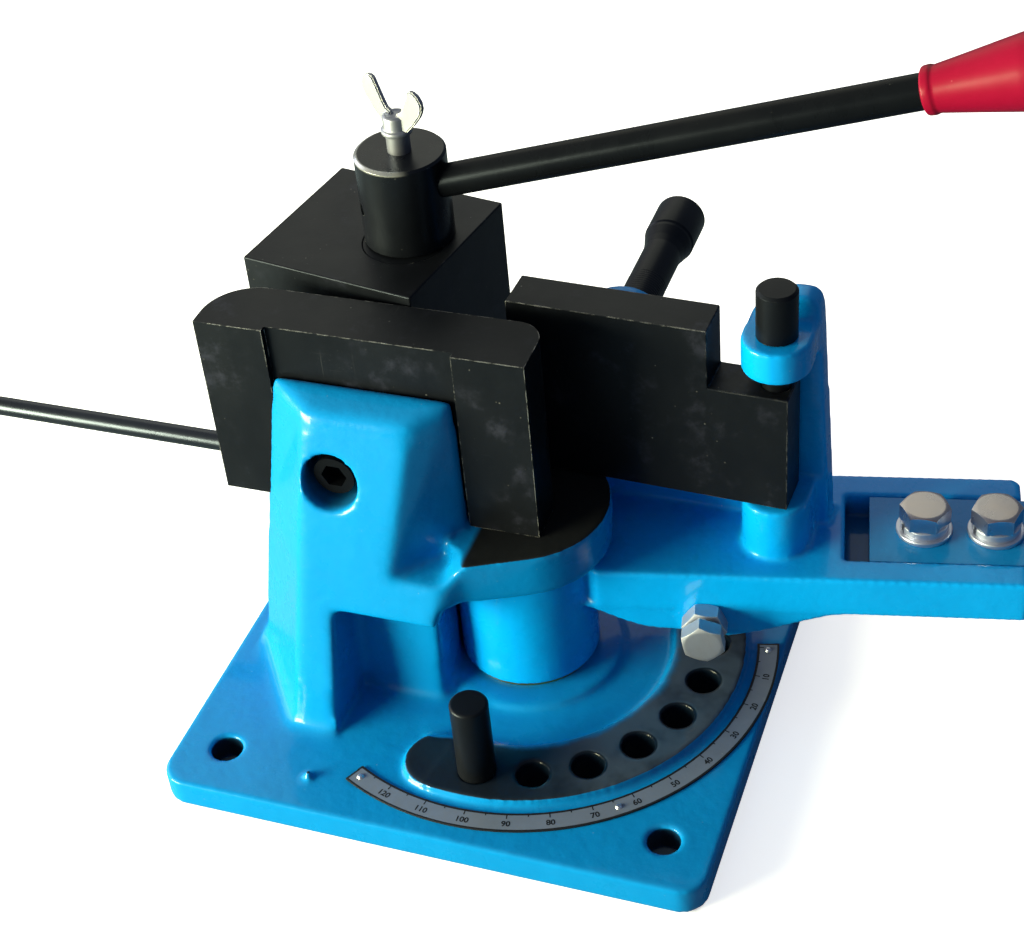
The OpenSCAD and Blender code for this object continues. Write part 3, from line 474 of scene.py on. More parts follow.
def zinc_plate(name, dull, brown=0.0, tone=1.0):
    """Bright zinc on steel with a cloudy bloom and small dark marks; brown makes faces turned up browner in
    patches.
    """
    fin = Finish(name, Metallic=1.0)
    scuff = fin.use(SCUFFS, Density=0.55)
    edge = fin.use(EDGE_RUB, Width=0.0005, Amount=0.62)["Mask"]
    dark, bright = ([value * tone for value in colour] for colour in (ZINC_DARK, ZINC_BRIGHT))
    # Browner on faces turned up, in patches
    brown_top = times(fin.tree, ramp(fin.tree, facing_up(fin.tree), 0.8, 0.97), scuff["Smudge"], brown)
    colour = fin.mix(scuff["Smudge"], dark, bright)
    colour = fin.mix(scuff["Scratch"], colour, ZINC_SCRATCH)
    colour = fin.mix(brown_top, colour, ZINC_BROWN_TOP)
    fin.feed("Base Color", fin.mix(edge, colour, ZINC_EDGE))
    fin.feed("Roughness", fin.blend(scuff["Smudge"], dull + 0.12, dull - 0.1))
    fin.bump(scuff["Smudge"], 0.0002)
    return fin.material


RED_DEEP, RED_PALE, RED_LINT = (0.2, 0.002, 0.018), (0.28, 0.004, 0.032), (0.6, 0.3, 0.32)


def red_plastic(name):
    """Dipped glossy red plastic with a soft skin."""
    fin = Finish(name, IOR=1.47, Specular_IOR_Level=0.1, Coat_Weight=0.03, Coat_Roughness=0.2)
    skin = fin.use(CAST_SKIN, Grain=0.5)
    lint = fin.use(DUST, Amount=0.2)["Mask"]
    fin.feed("Base Color", fin.mix(lint, fin.mix(skin["Tint"], RED_DEEP, RED_PALE), RED_LINT))
    fin.feed("Roughness", fin.blend(skin["Gloss"], 0.24, 0.42))
    fin.bump(skin["Relief"], 0.00035)
    return fin.material


BRONZE_DARK, BRONZE_BRIGHT = (0.42, 0.24, 0.07), (0.66, 0.43, 0.16)


def bearing_bronze(name):
    fin = Finish(name, Metallic=1.0)
    scuff = fin.use(SCUFFS, Density=0.6)
    fin.feed("Base Color", fin.mix(scuff["Smudge"], BRONZE_DARK, BRONZE_BRIGHT))
    fin.feed("Roughness", fin.blend(scuff["Smudge"], 0.42, 0.26))
    fin.bump(scuff["Scratch"], -0.0001)
    return fin.material


STRIP_DARK, STRIP_BRIGHT, STRIP_SCRATCH = (0.1, 0.13, 0.19), (0.26, 0.3, 0.42), (0.4, 0.42, 0.44)
INK_BLACK, INK_RUBBED = (0.003, 0.004, 0.007), (0.014, 0.015, 0.02)


def scale_metal(name):
    """Satin grey face of the scale strip."""
    fin = Finish(name, Specular_IOR_Level=0.4)
    scuff = fin.use(SCUFFS, Density=0.6)
    colour = fin.mix(scuff["Smudge"], STRIP_DARK, STRIP_BRIGHT)
    fin.feed("Base Color", fin.mix(scuff["Scratch"], colour, STRIP_SCRATCH))
    fin.feed("Metallic", fin.blend(scuff["Smudge"], 0.2, 0.5))
    fin.feed("Roughness", fin.blend(scuff["Smudge"], 0.5, 0.34))
    fin.bump(scuff["Scratch"], -0.00008)
    return fin.material


def scale_ink(name):
    """Black etched lines and figures, a little rubbed."""
    fin = Finish(name, Specular_IOR_Level=0.25)
    scuff = fin.use(SCUFFS, Density=0.5)
    fin.feed("Base Color", fin.mix(scuff["Smudge"], INK_BLACK, INK_RUBBED))
    fin.feed("Roughness", fin.blend(scuff["Smudge"], 0.45, 0.6))
    fin.bump(scuff["Smudge"], 0.00005)
    return fin.material


BLUE_BASE = blue_paint("blue_base_casting", base_bare_places)
# The arm has the base's blue paint 1.45 times brighter: a lit copy standing in for more light on the arm
BLUE_ARM_LIT = blue_paint("blue_arm_casting_lit", arm_bare_places, shade=1.45)
BLUE_LEVER = blue_paint("blue_lever", shade=0.95)
DIE_BLACK = black_oxide("black_oxide_die", gloss=0.36, rub=0.54, scratch=0.62, dust=0.5, blotch=0.45)
BLOCK_BLACK = black_oxide("black_oxide_block", gloss=0.36, rub=0.46, scratch=0.4, dust=0.4, shine=0.22,
                          blotch=0.3)
HUB_BLACK = black_oxide("black_oxide_hub", gloss=0.26, rub=0.45, scratch=0.4, dust=0.3, shine=0.28,
                        wear_and_sheen=hub_rim)
SCREW_BLACK = black_oxide("black_oxide_screw", gloss=0.3, rub=0.2, scratch=0.3, dust=0.1, shine=0.08)
PIN_BLACK = black_oxide("black_oxide_pin", gloss=0.34, rub=0.42, scratch=0.4, dust=0.25)
ROD_BLACK = black_oxide("black_lacquer_rod", gloss=0.26, rub=0.3, scratch=0.3, dust=0.3, shine=0.07)
STOP_ROD_BLACK = black_oxide("black_stop_rod", gloss=0.24, rub=0.3, scratch=0.3, dust=0.3, shine=0.65)
ZINC = zinc_plate("zinc_plate", dull=0.4, tone=1.15)
BOLT_ZINC = zinc_plate("zinc_plate_bolt", dull=0.25, brown=1.0)
WING_ZINC = zinc_plate("zinc_plate_wing", dull=0.5, tone=0.6)
BRIGHT_ZINC = zinc_plate("zinc_plate_bright", dull=0.55, tone=0.85)
RED = red_plastic("red_grip_plastic")
BRONZE = bearing_bronze("bearing_bronze")
SCALE_FACE = scale_metal("scale_strip_metal")
SCALE_INK = scale_ink("scale_strip_ink")

# Mesh helpers

LATHE_TURNS, HEX_TURNS = 64, 72
HEX_CROWN, CROWN_DROP, CROWN_EDGE, CROWN_RISE = 0.96, 0.55, 1.0, 0.05
SHANK_TIP = 0.8
RINGS_PER_PITCH = 5


def stored(name, bm):
    """Mesh of a finished bmesh."""
    mesh = bpy.data.meshes.new(name)
    bm.to_mesh(mesh)
    bm.free()
    return mesh


def ring_mesh(name, rings, closed=False):
    """Skin over rings of points in mm; a ring of one point is a tip."""
    bm = bmesh.new()
    made = [[bm.verts.new(Vector(p) * MM) for p in ring] for ring in rings]
    pairs = list(zip(made, made[1:])) + ([(made[-1], made[0])] if closed else [])
    for low, high in pairs:
        count = max(len(low), len(high))
        for i in range(count):
            j = (i + 1) % count
            loop = (low[i % len(low)], low[j % len(low)], high[j % len(high)], high[i % len(high)])
            corners = list(dict.fromkeys(loop))
            if len(corners) > 2:
                bm.faces.new(corners)
    bmesh.ops.recalc_face_normals(bm, faces=bm.faces)
    return stored(name, bm)


def circle(radius, height, turns):
    if radius <= 0:
        return [(0, 0, height)]
    return [(radius * math.cos(math.tau * i / turns), radius * math.sin(math.tau * i / turns), height)
            for i in range(turns)]


def eased(profile, radius, steps=3):
    """Profile with its inner corners rounded."""
    points = [Vector(p) for p in profile]
    out = [points[0]]
    for before, corner, after in zip(points, points[1:], points[2:]):
        back, ahead = before - corner, after - corner
        reach = min(radius, back.length / 2, ahead.length / 2)
        start, end = corner + back.normalized() * reach, corner + ahead.normalized() * reach
        for i in range(steps + 1):
            t = i / steps
            out.append(start * (1 - t) ** 2 + corner * (2 * t * (1 - t)) + end * t ** 2)
    out.append(points[-1])
    return [tuple(p) for p in out]


def raised(profile, height):
    return [(r, z + height) for r, z in profile]


def lathe(name, profile):
    """Turned piece about z from (radius, height) pairs in mm."""
    return ring_mesh(name, [circle(r, z, LATHE_TURNS) for r, z in profile])


def hex_ring(across, height, drop=0.0):
    """Hexagon whose corners lie lower than the middle of its flats, as the crown of a nut is turned."""
    points = []
    for i in range(HEX_TURNS):
        turn = math.tau * i / HEX_TURNS
        r = across / 2 / math.cos((turn + math.pi / 6) % (math.pi / 3) - math.pi / 6)
        points.append((r * math.cos(turn), r * math.sin(turn), height - (r - across / 2 * HEX_CROWN) * drop))
    return points


def hex_head(name, across, low, high, shank=None, bore=0.0):
    """Hexagon bolt head with a turned crown, or a nut with two where bore gives its hole's radius.

    shank is the radius and the lower end of a plain shank below a head.
    """
    crown = across / 2 * HEX_CROWN
    if shank:
        radius, end = shank
        foot = [(0, end), (radius - SHANK_TIP, end), (radius, end + SHANK_TIP), (radius, low)]
    elif bore:
        foot = [(bore, high), (bore, low), (crown, low)]
    else:
        foot = [(0, low)]
    rings = [circle(r, z, HEX_TURNS) for r, z in foot]
    rings += [hex_ring(across, low, -CROWN_DROP if bore else 0.0), hex_ring(across, high, CROWN_DROP)]
    top = [(crown, high), (crown - CROWN_EDGE, high + CROWN_RISE)]
    if not bore:
        top += [(0, high + CROWN_RISE)]
    rings += [circle(r, z, HEX_TURNS) for r, z in top]
    return ring_mesh(name, rings, closed=bool(bore))


def thread(name, radius, pitch, depth, low, high, turns=40):
    """Screw thread about z with plain tips."""
    rings = [circle(0, low, turns), circle(radius - depth, low, turns)]
    steps = int((high - low) / pitch * RINGS_PER_PITCH)
    for k in range(1, steps):
        z = low + (high - low) * k / steps
        ring = []
        for i in range(turns):
            phase = (z / pitch - i / turns) % 1.0
            r = radius - depth * abs(2 * phase - 1)
            turn = math.tau * i / turns
            ring.append((r * math.cos(turn), r * math.sin(turn), z))
        rings.append(ring)
    rings += [circle(radius - depth, high, turns), circle(0, high, turns)]
    return ring_mesh(name, rings)


def joined(name, *meshes):
    bm = bmesh.new()
    for mesh in meshes:
        bm.from_mesh(mesh)
        bpy.data.meshes.remove(mesh)
    return stored(name, bm)


def placed(mesh, matrix):
    mesh.transform(matrix)
    return mesh


def shift(x, y, z):
    return Matrix.Translation((x * MM, y * MM, z * MM))


def turned(angle, axis):
    return Matrix.Rotation(math.radians(angle), 4, axis)


def linked(name, data):
    """A new object in the scene."""
    obj = bpy.data.objects.new(name, data)
    bpy.context.scene.collection.objects.link(obj)
    return obj


def settled(obj):
    """The object's mesh after its modifiers; the object itself goes."""
    bpy.context.view_layer.update()
    made = bpy.data.meshes.new_from_object(obj.evaluated_get(bpy.context.evaluated_depsgraph_get()))
    bpy.data.objects.remove(obj)
    return made


AT_ARM = shift(*PIVOT, 0) @ turned(ARM_ANGLE, "Z")
AT_CLAMP = shift(*CLAMP_AXIS, 0)
AT_CLAMP_LEVER = AT_CLAMP @ shift(0, 0, CLAMP_LEVER_Z) @ turned(90 - CLAMP_LEVER_TILT, "Y")


def piece(name, mesh, body, material, replaces=(), crease=35):
    """A new piece in the row frame that rides on a CAD body."""
    obj = linked(name, mesh)
    mesh.materials.clear()
    mesh.materials.append(material)
    mesh.polygons.foreach_set("use_smooth", [True] * len(mesh.polygons))
    mesh.set_sharp_from_angle(angle=math.radians(crease))
    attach(obj, body)
    if replaces:
        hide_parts(*replaces)
    return obj


# Castings

WELD_DISTANCE = 1e-6
EVEN_ROUNDS, SMOOTH_FACTOR, FACES_KEPT = 7, 0.5, 0.5
GRIP_CREASE, CAST_CREASE = 60, 180


def casting(node_name, voxel, rounds, softness):
    """Copy of a CAD casting with fillets and rounded edges; softness says how much at a place in mm."""
    work = linked("work", NODES[node_name].data.copy())
    work.modifiers.new("weld", "WELD").merge_threshold = WELD_DISTANCE
    remesh = work.modifiers.new("skin", "REMESH")
    remesh.mode, remesh.voxel_size = "VOXEL", voxel * MM
    even = work.modifiers.new("even", "SMOOTH")
    even.factor, even.iterations = SMOOTH_FACTOR, EVEN_ROUNDS
    work = linked("work", settled(work))
    shares = {}
    for vertex in work.data.vertices:
        shares.setdefault(softness(*(vertex.co / MM)), []).append(vertex.index)
    soft = work.vertex_groups.new(name="soft")
    for share, indices in shares.items():
        soft.add(indices, share, "REPLACE")
    smooth = work.modifiers.new("soften", "SMOOTH")
    smooth.factor, smooth.iterations, smooth.vertex_group = SMOOTH_FACTOR, rounds, "soft"
    work.modifiers.new("thin", "DECIMATE").ratio = FACES_KEPT
    return settled(work)


def base_softness(x, y, z):
    """Machined edges and holes stay crisper than the cast faces."""
    radius = math.hypot(x - PIVOT[0], y - PIVOT[1])
    table = TABLE_TOP - 3 < z < TABLE_TOP + 12 and radius < TABLE_R + 12 and x > -8 and y < 30
    land = LAND_TOP - 4 < z < LAND_TOP + 3 and LAND_INNER + 8 < radius < LAND_OUTER + 2
    base_hole = math.hypot(abs(x) - BASE_HOLE_X, abs(y) - BASE_HOLE_Y) < BASE_HOLE_R + 3
    counterbore = math.hypot(x - COUNTERBORE_X, z - COUNTERBORE_Z) < 15 and y < -18
    nub = math.hypot(x - NUB_X, y - NUB_Y) < 6
    plate_rim = z < 16 and (abs(x) > PLATE_HALF_X - 8.5 or abs(y) > PLATE_HALF_Y - 8.5)
    plate = z < 11
    column_top = z > 152
    column_head = z > 118
    column_foot = x < 6 and y < 0 and z < 34
    column = x < 6 and y < -20
    for here, share in ((table, 0.02), (land, 0.02), (base_hole, 0.03), (counterbore, 0.04), (nub, 0.01),
                        (plate_rim, 0.03), (plate, 0.08), (column_top, 1.0), (column_head, 0.3),
                        (column_foot, 1.0), (column, 0.5)):
        if here:
            return share
    return 0.25


def arm_softness(x, y, z):
    """The barrel's foot, the lever's pocket and the die pin's lugs are machined."""
    turn = math.radians(ARM_ANGLE)
    along = Vector((x - PIVOT[0], y - PIVOT[1])).dot(Vector((math.cos(turn), math.sin(turn))))
    barrel_foot = z < 21
    pocket = along > POCKET_U - 4.5
    lugs = math.hypot(x - DIE_PIN_X, y - DIE_PIN_Y) < 11.5
    post_top = z > 140 and y > DIE_PIN_Y + 6
    for here, share in ((barrel_foot, 0.02), (pocket, 0.14), (lugs, 0.03), (post_top, 0.8)):
        if here:
            return share
    return 0.2


piece("base_body", casting("base_casting", 1.0, 120, base_softness), "base", BLUE_BASE,
      ["base_casting"], CAST_CREASE)
piece("arm_body", casting("swing_arm", 0.85, 70, arm_softness), "arm", BLUE_ARM_LIT,
      ["swing_arm"], CAST_CREASE)

# CAD nodes that keep their shape, with their finish and the width of their broken edges in mm

DRESSED = (
    ("main_lever", BLUE_LEVER, 0.8), ("front_die", DIE_BLACK, 0.6), ("bending_die", DIE_BLACK, 0.6),
    ("clamp_block", BLOCK_BLACK, 0.7), ("clamp_hub", HUB_BLACK, 1.3), ("clamp_shaft", PIN_BLACK, 0.4),
    ("die_screw", SCREW_BLACK, 0.4), ("die_pin", PIN_BLACK, 0.3), ("clamp_lever", ROD_BLACK, 0.4),
    ("stop_rod", STOP_ROD_BLACK, 0.5), ("rod_nut", PIN_BLACK, 0.3), ("stop_collar", PIN_BLACK, 0.5),
    ("collar_screw", ZINC, 0.4), ("angle_scale", SCALE_INK, 0.1), ("scale_rivets", ZINC, 0.15),
    ("pivot_shaft", ZINC, 0.4), ("thrust_washer", BRONZE, 0.2), ("clamp_bush", BRONZE, 0.2),
    ("arm_bushes", BRONZE, 0.2), ("lever_washers", ZINC, 0.6), ("spring_washers", ZINC, 0.3),
    ("lever_nuts", ZINC, 0.4), ("hub_pin", SCREW_BLACK, 0.1), ("shaft_ring", ZINC, 0.2))
SHARP_ANGLE, EDGE_SEGMENTS, FLAT_WEIGHT = 40, 2, 100


def dress(obj, material, edge_width):
    """Gives a CAD node its finish and broken edges."""
    obj.data.materials.clear()
    obj.data.materials.append(material)
    obj.modifiers.new("weld", "WELD").merge_threshold = WELD_DISTANCE
    edge = obj.modifiers.new("broken_edges", "BEVEL")
    edge.width, edge.segments = edge_width * MM, EDGE_SEGMENTS
    edge.limit_method, edge.angle_limit = "ANGLE", math.radians(SHARP_ANGLE)
    obj.data.polygons.foreach_set("use_smooth", [True] * len(obj.data.polygons))
    obj.modifiers.new("flat_faces", "WEIGHTED_NORMAL").weight = FLAT_WEIGHT


for node_name, finish, width in DRESSED:
    dress(NODES[node_name], finish, width)

# Bolts, with each thread's radius, pitch, depth and two ends

LEVER_BOLT_ACROSS, LEVER_BOLT_HEAD, LEVER_BOLT_R = 19.0, 8.0, 6.0
LEVER_BOLT_TURNS = (-37.0, -25.0)
STOP_ACROSS = 17.0
STOP_HEAD, STOP_HEAD_TURN = (10.2, 17.2), 10.0
STOP_NUT, STOP_NUT_TURN, STOP_NUT_BORE = (0.1, 8.0), 24.0, 5.05
STOP_THREAD = (5.0, 1.5, 0.75, -17.5, 10.4)


def lever_bolt_meshes():
    """Two hexagon bolts, turned a little differently."""
    made = []
    for u, turn in zip(LEVER_BOLTS_U, LEVER_BOLT_TURNS):
        bolt = hex_head("lever_bolt", LEVER_BOLT_ACROSS, LEVER_HEAD_LOW, LEVER_HEAD_LOW + LEVER_BOLT_HEAD,
                        shank=(LEVER_BOLT_R, LEVER_BOLT_LOW))
        made.append(placed(bolt, AT_ARM @ shift(u, TANG_V, 0) @ turned(turn, "Z")))
    return made


piece("lever_bolt_pair", joined("lever_bolt_pair", *lever_bolt_meshes()), "arm", BOLT_ZINC,
      ["lever_bolts"])

AT_STOP_BOLT = AT_ARM @ shift(STOP_BOLT_U, STOP_BOLT_V, STOP_BOLT_Z) @ turned(90, "X")
stop_head = placed(hex_head("stop_head", STOP_ACROSS, *STOP_HEAD),
                   AT_STOP_BOLT @ turned(STOP_HEAD_TURN, "Z"))
stop_thread = placed(thread("stop_thread", *STOP_THREAD), AT_STOP_BOLT)
piece("stop_bolt_set", joined("stop_bolt_set", stop_head, stop_thread), "stop_bolt",
      BRIGHT_ZINC, ["stop_bolt"])
stop_nut = placed(hex_head("stop_nut", STOP_ACROSS, *STOP_NUT, bore=STOP_NUT_BORE),
                  AT_STOP_BOLT @ turned(STOP_NUT_TURN, "Z"))
piece("stop_nut", stop_nut, "arm", BRIGHT_ZINC, ["stop_lock_nut"])


# Stop pin

def stop_pin_mesh():
    """Turned pin with a shank in the stop hole, a shoulder on the land and a chamfered top."""
    low, high = ([value / MM for value in corner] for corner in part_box("stop_pin"))
    foot = low[2]
    top = high[2] - STOP_PIN_SUNK
    radius = (high[0] - low[0]) / 2
    shank = [(0, foot), (STOP_SHANK_R - SHANK_TIP, foot), (STOP_SHANK_R, foot + SHANK_TIP),
             (STOP_SHANK_R, STOP_SHOULDER)]
    head = [(radius - 0.4, STOP_SHOULDER), (radius, STOP_SHOULDER + 0.4), (radius, top - 0.9),
            (radius - 0.5, top - 0.25), (radius - 1.1, top), (0, top - 0.15)]
    middle = shift((low[0] + high[0]) / 2, (low[1] + high[1]) / 2, 0)
    return placed(lathe("stop_pin", eased(shank + head, 0.3)), middle)


piece("stop_pin_turned", stop_pin_mesh(), "stop_pin", PIN_BLACK, ["stop_pin"])

# Wing screw, as (radius, height) above the hub, and above its own lower end for the foot of its stem

WING_EAR = (
    (1.5, 11.5), (7.0, 10.6), (12.4, 16.0), (16.6, 21.2), (18.2, 24.6), (17.8, 27.8), (15.8, 30.2),
    (12.8, 31.4), (10.6, 30.6), (8.6, 26.6), (6.0, 21.4), (4.6, 19.0), (1.5, 17.6))
WING_THICK, WING_EDGE = 2.5, 0.55
WING_STEM_FOOT = ((0, 0), (4.4, 0), (5.0, 0.8))
WING_STEM = (
    (5.0, 8.2), (6.6, 8.6), (6.7, 10.4), (5.6, 11.2), (5.4, 16.4), (4.2, 17.2), (2.6, 16.6), (0, 16.4))


def wing_ear():
    """One wing: a flat ear with a round tip."""
    bm = bmesh.new()
    side = -WING_THICK / 2 * MM
    face = bm.faces.new([bm.verts.new((r * MM, side, z * MM)) for r, z in raised(WING_EAR, HUB_TOP)])
    grown = bmesh.ops.extrude_face_region(bm, geom=[face])
    bmesh.ops.translate(bm, vec=(0, WING_THICK * MM, 0),
                        verts=[e for e in grown["geom"] if isinstance(e, bmesh.types.BMVert)])
    bmesh.ops.recalc_face_normals(bm, faces=bm.faces)
    bmesh.ops.bevel(bm, geom=list(bm.edges), offset=WING_EDGE * MM, segments=2, affect="EDGES",
                    clamp_overlap=True)
    return stored("wing_ear", bm)


wing_stem = lathe("wing_stem", eased(raised(WING_STEM_FOOT, WING_LOW) + raised(WING_STEM, HUB_TOP), 0.5))
wing_ears = [placed(wing_ear(), turned(WING_TURN + half_turn, "Z")) for half_turn in (0, 180)]
piece("wing_screw_set", placed(joined("wing_screw_set", wing_stem, *wing_ears), AT_CLAMP), "wing_screw",
      WING_ZINC, ["wing_screw"])

# Adjusting screw, as (radius, distance) along it, with its thread as for the bolts

ADJUST_OUTLINE = (
    (0, 46.4), (7.4, 46.4), (8.5, 47.6), (8.5, 112.0), (9.2, 116.0), (10.6, 121.4), (10.7, 123.0),
    (11.25, 123.6), (11.25, 144.0), (10.3, 145.0))
ADJUST_END, ADJUST_SOCKET, ADJUST_SOCKET_DEPTH = 145.0, 12.75, 9.0
ADJUST_THREAD, ADJUST_THREAD_TURNS = (8.62, 1.5, 0.3, 61.4, 88.0), 56


def adjust_screw_mesh():
    """Socket screw with a thread, a waist under its head and a hexagon socket in the end."""
    socket_floor = ADJUST_END - ADJUST_SOCKET_DEPTH
    rings = [circle(r, z, HEX_TURNS) for r, z in eased(ADJUST_OUTLINE, 0.5)]
    rings += [hex_ring(ADJUST_SOCKET, ADJUST_END), hex_ring(ADJUST_SOCKET, socket_floor),
              circle(0, socket_floor, HEX_TURNS)]
    screw = ring_mesh("adjust_screw", rings)
    teeth = thread("adjust_thread", *ADJUST_THREAD, ADJUST_THREAD_TURNS)
    return placed(joined("adjust_screw_set", screw, teeth), shift(ADJUST_X, 0, ADJUST_Z) @ turned(-90, "X"))


piece("adjust_screw_set", adjust_screw_mesh(), "adjust_screw", PIN_BLACK,
      ["adjust_screw"])

# Grips, as (radius, distance) from their open end

GRIP_CLEAR, GRIP_LIP = 0.02, 2.0
CLAMP_GRIP = (
    (9.2, 0), (9.5, 3.2), (8.95, 4.6), (10.6, 15), (14.4, 38), (15.8, 58), (15.3, 80), (13.4, 97),
    (9.5, 107), (5.0, 111), (0, 111))
LEVER_GRIP = (
    (17.4, 0), (18.0, 2.5), (17.6, 5), (15.5, 9.5), (16.0, 40), (16.9, 90), (17.0, 103), (15.0, 119),
    (10.0, 125), (0, 125))


def grip_mesh(name, bar_radius, outline, ease):
    """Turned grip with a lip that goes in along the bar."""
    hole_shade = bar_radius + GRIP_CLEAR
    return lathe(name, eased([(hole_shade, GRIP_LIP), (hole_shade, 0), *outline], ease, 4))


piece("clamp_grip_skin", placed(grip_mesh("clamp_grip_skin", CLAMP_ROD_R, CLAMP_GRIP, 1.2),
                                AT_CLAMP_LEVER @ shift(0, 0, CLAMP_GRIP_FROM)),
      "clamp_shaft", RED, ["clamp_grip"], GRIP_CREASE)
piece("lever_grip_skin", placed(grip_mesh("lever_grip_skin", BAR_R, LEVER_GRIP, 1.5),
                                AT_ARM @ shift(LEVER_GRIP_U, TANG_V, BAR_Z) @ turned(90, "Y")),
      "arm", RED, ["lever_grip"], GRIP_CREASE)

# Angle scale: grey face, ticks and plain figures

FACE_LIFT, INK_LIFT = 0.03, 0.06
FACE_INNER_RIM, FACE_OUTER_RIM, FACE_END_RIM = 1.1, 0.9, 0.5
ZERO_MARK = SCALE_TO - 1.4
TICK_STEP, TICK_LAST, TICK_HALF = 5, 130, 0.26
TICK_START, LONG_TICK, SHORT_TICK = 0.4, 3.0, 1.9
FIGURE_STEP, FIGURE_LAST = 10, 120
FIGURE_R, FIGURE_SIZE, FIGURE_WEIGHT = 107.3, 3.9, 0.12
ARC_STEP = 1.5


def about_pivot(radius, angle):
    """Place in mm at a radius and an angle about the pivot."""
    turn = math.radians(angle)
    return PIVOT[0] + radius * math.cos(turn), PIVOT[1] + radius * math.sin(turn)


def arc_strip(bm, inner, outer, start, end, height):
    """Flat strip between two radii about the pivot."""
    steps = max(1, int(abs(end - start) / ARC_STEP))
    rows = []
    for k in range(steps + 1):
        angle = start + (end - start) * k / steps
        rows.append([bm.verts.new(Vector((*about_pivot(r, angle), height)) * MM) for r in (inner, outer)])
    for (a, b), (c, d) in zip(rows, rows[1:]):
        bm.faces.new((a, b, d, c))


def scale_face_mesh():
    bm = bmesh.new()
    arc_strip(bm, SCALE_INNER + FACE_INNER_RIM, SCALE_OUTER - FACE_OUTER_RIM, SCALE_FROM + FACE_END_RIM,
              SCALE_TO - FACE_END_RIM, SCALE_TOP + FACE_LIFT)
    return stored("scale_face", bm)


def scale_ticks():
    """A tick every five degrees, longer every ten."""
    bm = bmesh.new()
    half = math.degrees(TICK_HALF / SCALE_INNER)
    for mark in range(0, TICK_LAST + 1, TICK_STEP):
        angle = ZERO_MARK - mark
        length = LONG_TICK if mark % FIGURE_STEP == 0 else SHORT_TICK
        arc_strip(bm, SCALE_INNER + TICK_START, SCALE_INNER + length, angle - half, angle + half,
                  SCALE_TOP + INK_LIFT)
    return stored("scale_ticks", bm)


def scale_figures():
    """Plain figures every ten degrees, upright for someone in front."""
    made = []
    for mark in range(FIGURE_STEP, FIGURE_LAST + 1, FIGURE_STEP):
        curve = bpy.data.curves.new("figure", "FONT")
        curve.body = str(mark)
        curve.size, curve.align_x, curve.align_y = FIGURE_SIZE * MM, "CENTER", "CENTER"
        curve.resolution_u, curve.offset = 3, FIGURE_WEIGHT * MM
        angle = ZERO_MARK - mark
        at = shift(*about_pivot(FIGURE_R, angle), SCALE_TOP + INK_LIFT) @ turned(angle + 90, "Z")
        made.append(placed(settled(linked("figure", curve)), at))
    return made


piece("scale_face", scale_face_mesh(), "base", SCALE_FACE)
piece("scale_marks", joined("scale_marks", scale_ticks(), *scale_figures()), "base",
      SCALE_INK)

# Camera at the photograph's place, in metres and degrees

CAMERA_PLACE = (0.26209, -0.59967, 0.64661)
CAMERA_AZIMUTH, CAMERA_ELEVATION, CAMERA_ROLL = 22.71, 38.99, -5.80
CAMERA_LENS, CAMERA_SENSOR = 70.1, 36.0
CAMERA_NEAR, CAMERA_FAR = 0.05, 20


def camera():
    made = bpy.data.cameras.new("camera")
    made.lens, made.sensor_width = CAMERA_LENS, CAMERA_SENSOR
    made.clip_start, made.clip_end = CAMERA_NEAR, CAMERA_FAR
    azimuth, elevation, roll = (math.radians(a) for a in (CAMERA_AZIMUTH, CAMERA_ELEVATION, CAMERA_ROLL))
    back = Vector((math.sin(azimuth) * math.cos(elevation), -math.cos(azimuth) * math.cos(elevation),
                   math.sin(elevation)))
    right = (-back).cross(Vector((0, 0, 1))).normalized()
    up = right.cross(-back)
    across = right * math.cos(roll) + up * math.sin(roll)
    above = up * math.cos(roll) - right * math.sin(roll)
    turn = Matrix((across, above, back)).transposed().to_4x4()
    obj = linked("camera", made)
    obj.matrix_world = Matrix.Translation(CAMERA_PLACE) @ turn
    bpy.context.scene.camera = obj


# Floor

FLOOR_SIZE, FLOOR_DROP = 40.0, 0.4
FLOOR_PALE = ((0.93, 0.93, 0.93), (0.96, 0.96, 0.96))
FLOOR_GLOW_SHADOWED, FLOOR_GLOW_FAR, NO_GLOW = (0.68, 0.68, 0.68), (0.95, 0.95, 0.95), (0.0, 0.0, 0.0)
FLOOR_BOUNCE = (0.22, 0.28, 0.34)
GLOW_NEAR_X, GLOW_NEAR_Y, GLOW_FAR = 130.0, 120.0, 240.0


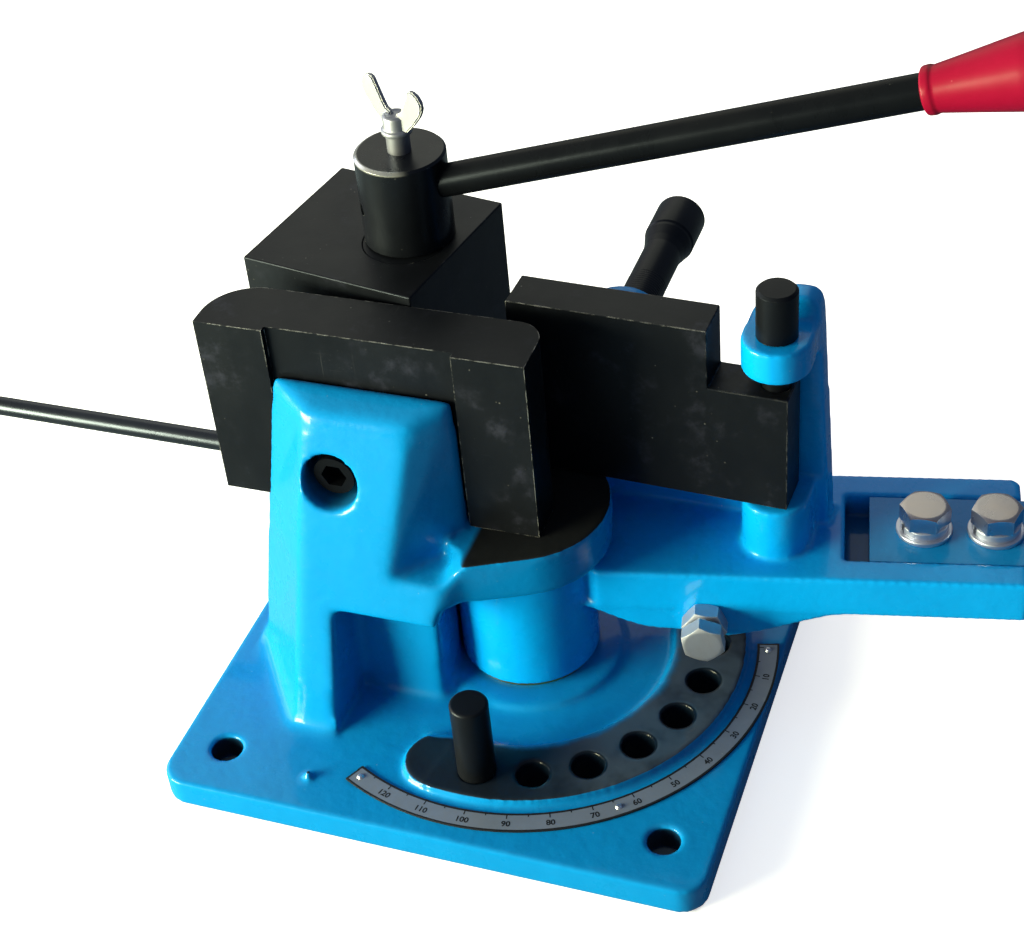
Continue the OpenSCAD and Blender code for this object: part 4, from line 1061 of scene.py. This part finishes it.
def floor():
    """Pale floor that glows to the camera beside the base, less close to it as a painted shadow; under the
    base, seen through its holes as painted shade, and to other rays it is dim.
    """
    bm = bmesh.new()
    bmesh.ops.create_grid(bm, x_segments=2, y_segments=2, size=FLOOR_SIZE)
    obj = linked("floor", stored("floor", bm))
    obj.location.z = -FLOOR_DROP * MM
    fin = Finish("pale_floor", Roughness=0.9, Specular_IOR_Level=0.1, Emission_Strength=1.0)
    tree = fin.tree
    seen = node(tree, "ShaderNodeLightPath").outputs["Is Camera Ray"]
    pale = fin.mix(noise(tree, spot(tree), scale=3, detail=3), *FLOOR_PALE)
    out_x, out_y = (calc(tree, "ABSOLUTE", value) for value in xyz(tree, spot(tree))[:2])
    beside = calc(tree, "MAXIMUM", ramp_mm(tree, out_x, PLATE_HALF_X - 9.5, PLATE_HALF_X - 0.5),
                  ramp_mm(tree, out_y, PLATE_HALF_Y - 9.5, PLATE_HALF_Y - 0.5))
    out_of_shadow = calc(tree, "MAXIMUM", ramp_mm(tree, out_x, GLOW_NEAR_X, GLOW_FAR),
                ramp_mm(tree, out_y, GLOW_NEAR_Y, GLOW_FAR))
    # Weaker glow near the base: a painted shadow on the floor
    glow = fin.mix(out_of_shadow, FLOOR_GLOW_SHADOWED, FLOOR_GLOW_FAR)
    # No glow under the base: painted shade seen through the holes
    open_floor = times(tree, seen, beside)
    fin.feed("Base Color", fin.mix(open_floor, FLOOR_BOUNCE, pale))
    fin.feed("Emission Color", fin.mix(open_floor, NO_GLOW, glow))
    obj.data.materials.append(fin.material)


# Light: name, place, aim, size, watts and colour, in metres

SOFTBOXES = (
    ("left_window", (-1.18, -0.94, 0.31), (0, 0, 0.08), (0.95, 0.7), 96, (1.0, 0.98, 0.6)),
    ("left_wall", (-1.35, 0.25, 0.5), (0, 0, 0.1), (1.0, 0.8), 6, (1, 1, 1)),
    ("back_left_wall", (-0.6, 1.44, 1.3), (0, 0, 0.1), (1.6, 1.2), 4.6, (1.0, 0.97, 0.66)))
SKY_RIGHT, SKY_LEFT, SKY_TURN = (0.64, 0.78, 1.0, 1), (1, 1, 1, 1), (0.45, -0.75)
SKY_STRENGTH, SKY_LEFT_MORE = 0.19, 0.24


def softbox(name, place, aim, size, watts, colour):
    light = bpy.data.lights.new(name, "AREA")
    light.shape, light.size, light.size_y = "RECTANGLE", *size
    light.energy, light.color = watts, colour
    obj = linked(name, light)
    obj.location = place
    obj.rotation_mode = "QUATERNION"
    obj.rotation_quaternion = (Vector(aim) - Vector(place)).to_track_quat("-Z", "Y")


def studio_sky():
    """Even light from all round, bluer on the right and brighter on the left."""
    world = bpy.data.worlds.new("studio")
    world.use_nodes = True
    tree = world.node_tree
    sky = tree.nodes["Background"]
    toward = node(tree, "ShaderNodeTexCoord").outputs["Generated"]
    toward_left = ramp(tree, xyz(tree, toward)[0], *SKY_TURN)
    tint = node(tree, "ShaderNodeMix", {0: toward_left, 6: SKY_RIGHT, 7: SKY_LEFT}, data_type="RGBA")
    strength = calc(tree, "MULTIPLY_ADD", toward_left, SKY_LEFT_MORE, SKY_STRENGTH)
    tree.links.new(tint.outputs[2], sky.inputs["Color"])
    tree.links.new(strength, sky.inputs["Strength"])
    bpy.context.scene.world = world


camera()
floor()
for box in SOFTBOXES:
    softbox(*box)
studio_sky()
bpy.context.scene.view_settings.view_transform = "Standard"

bpy.context.view_layer.update()
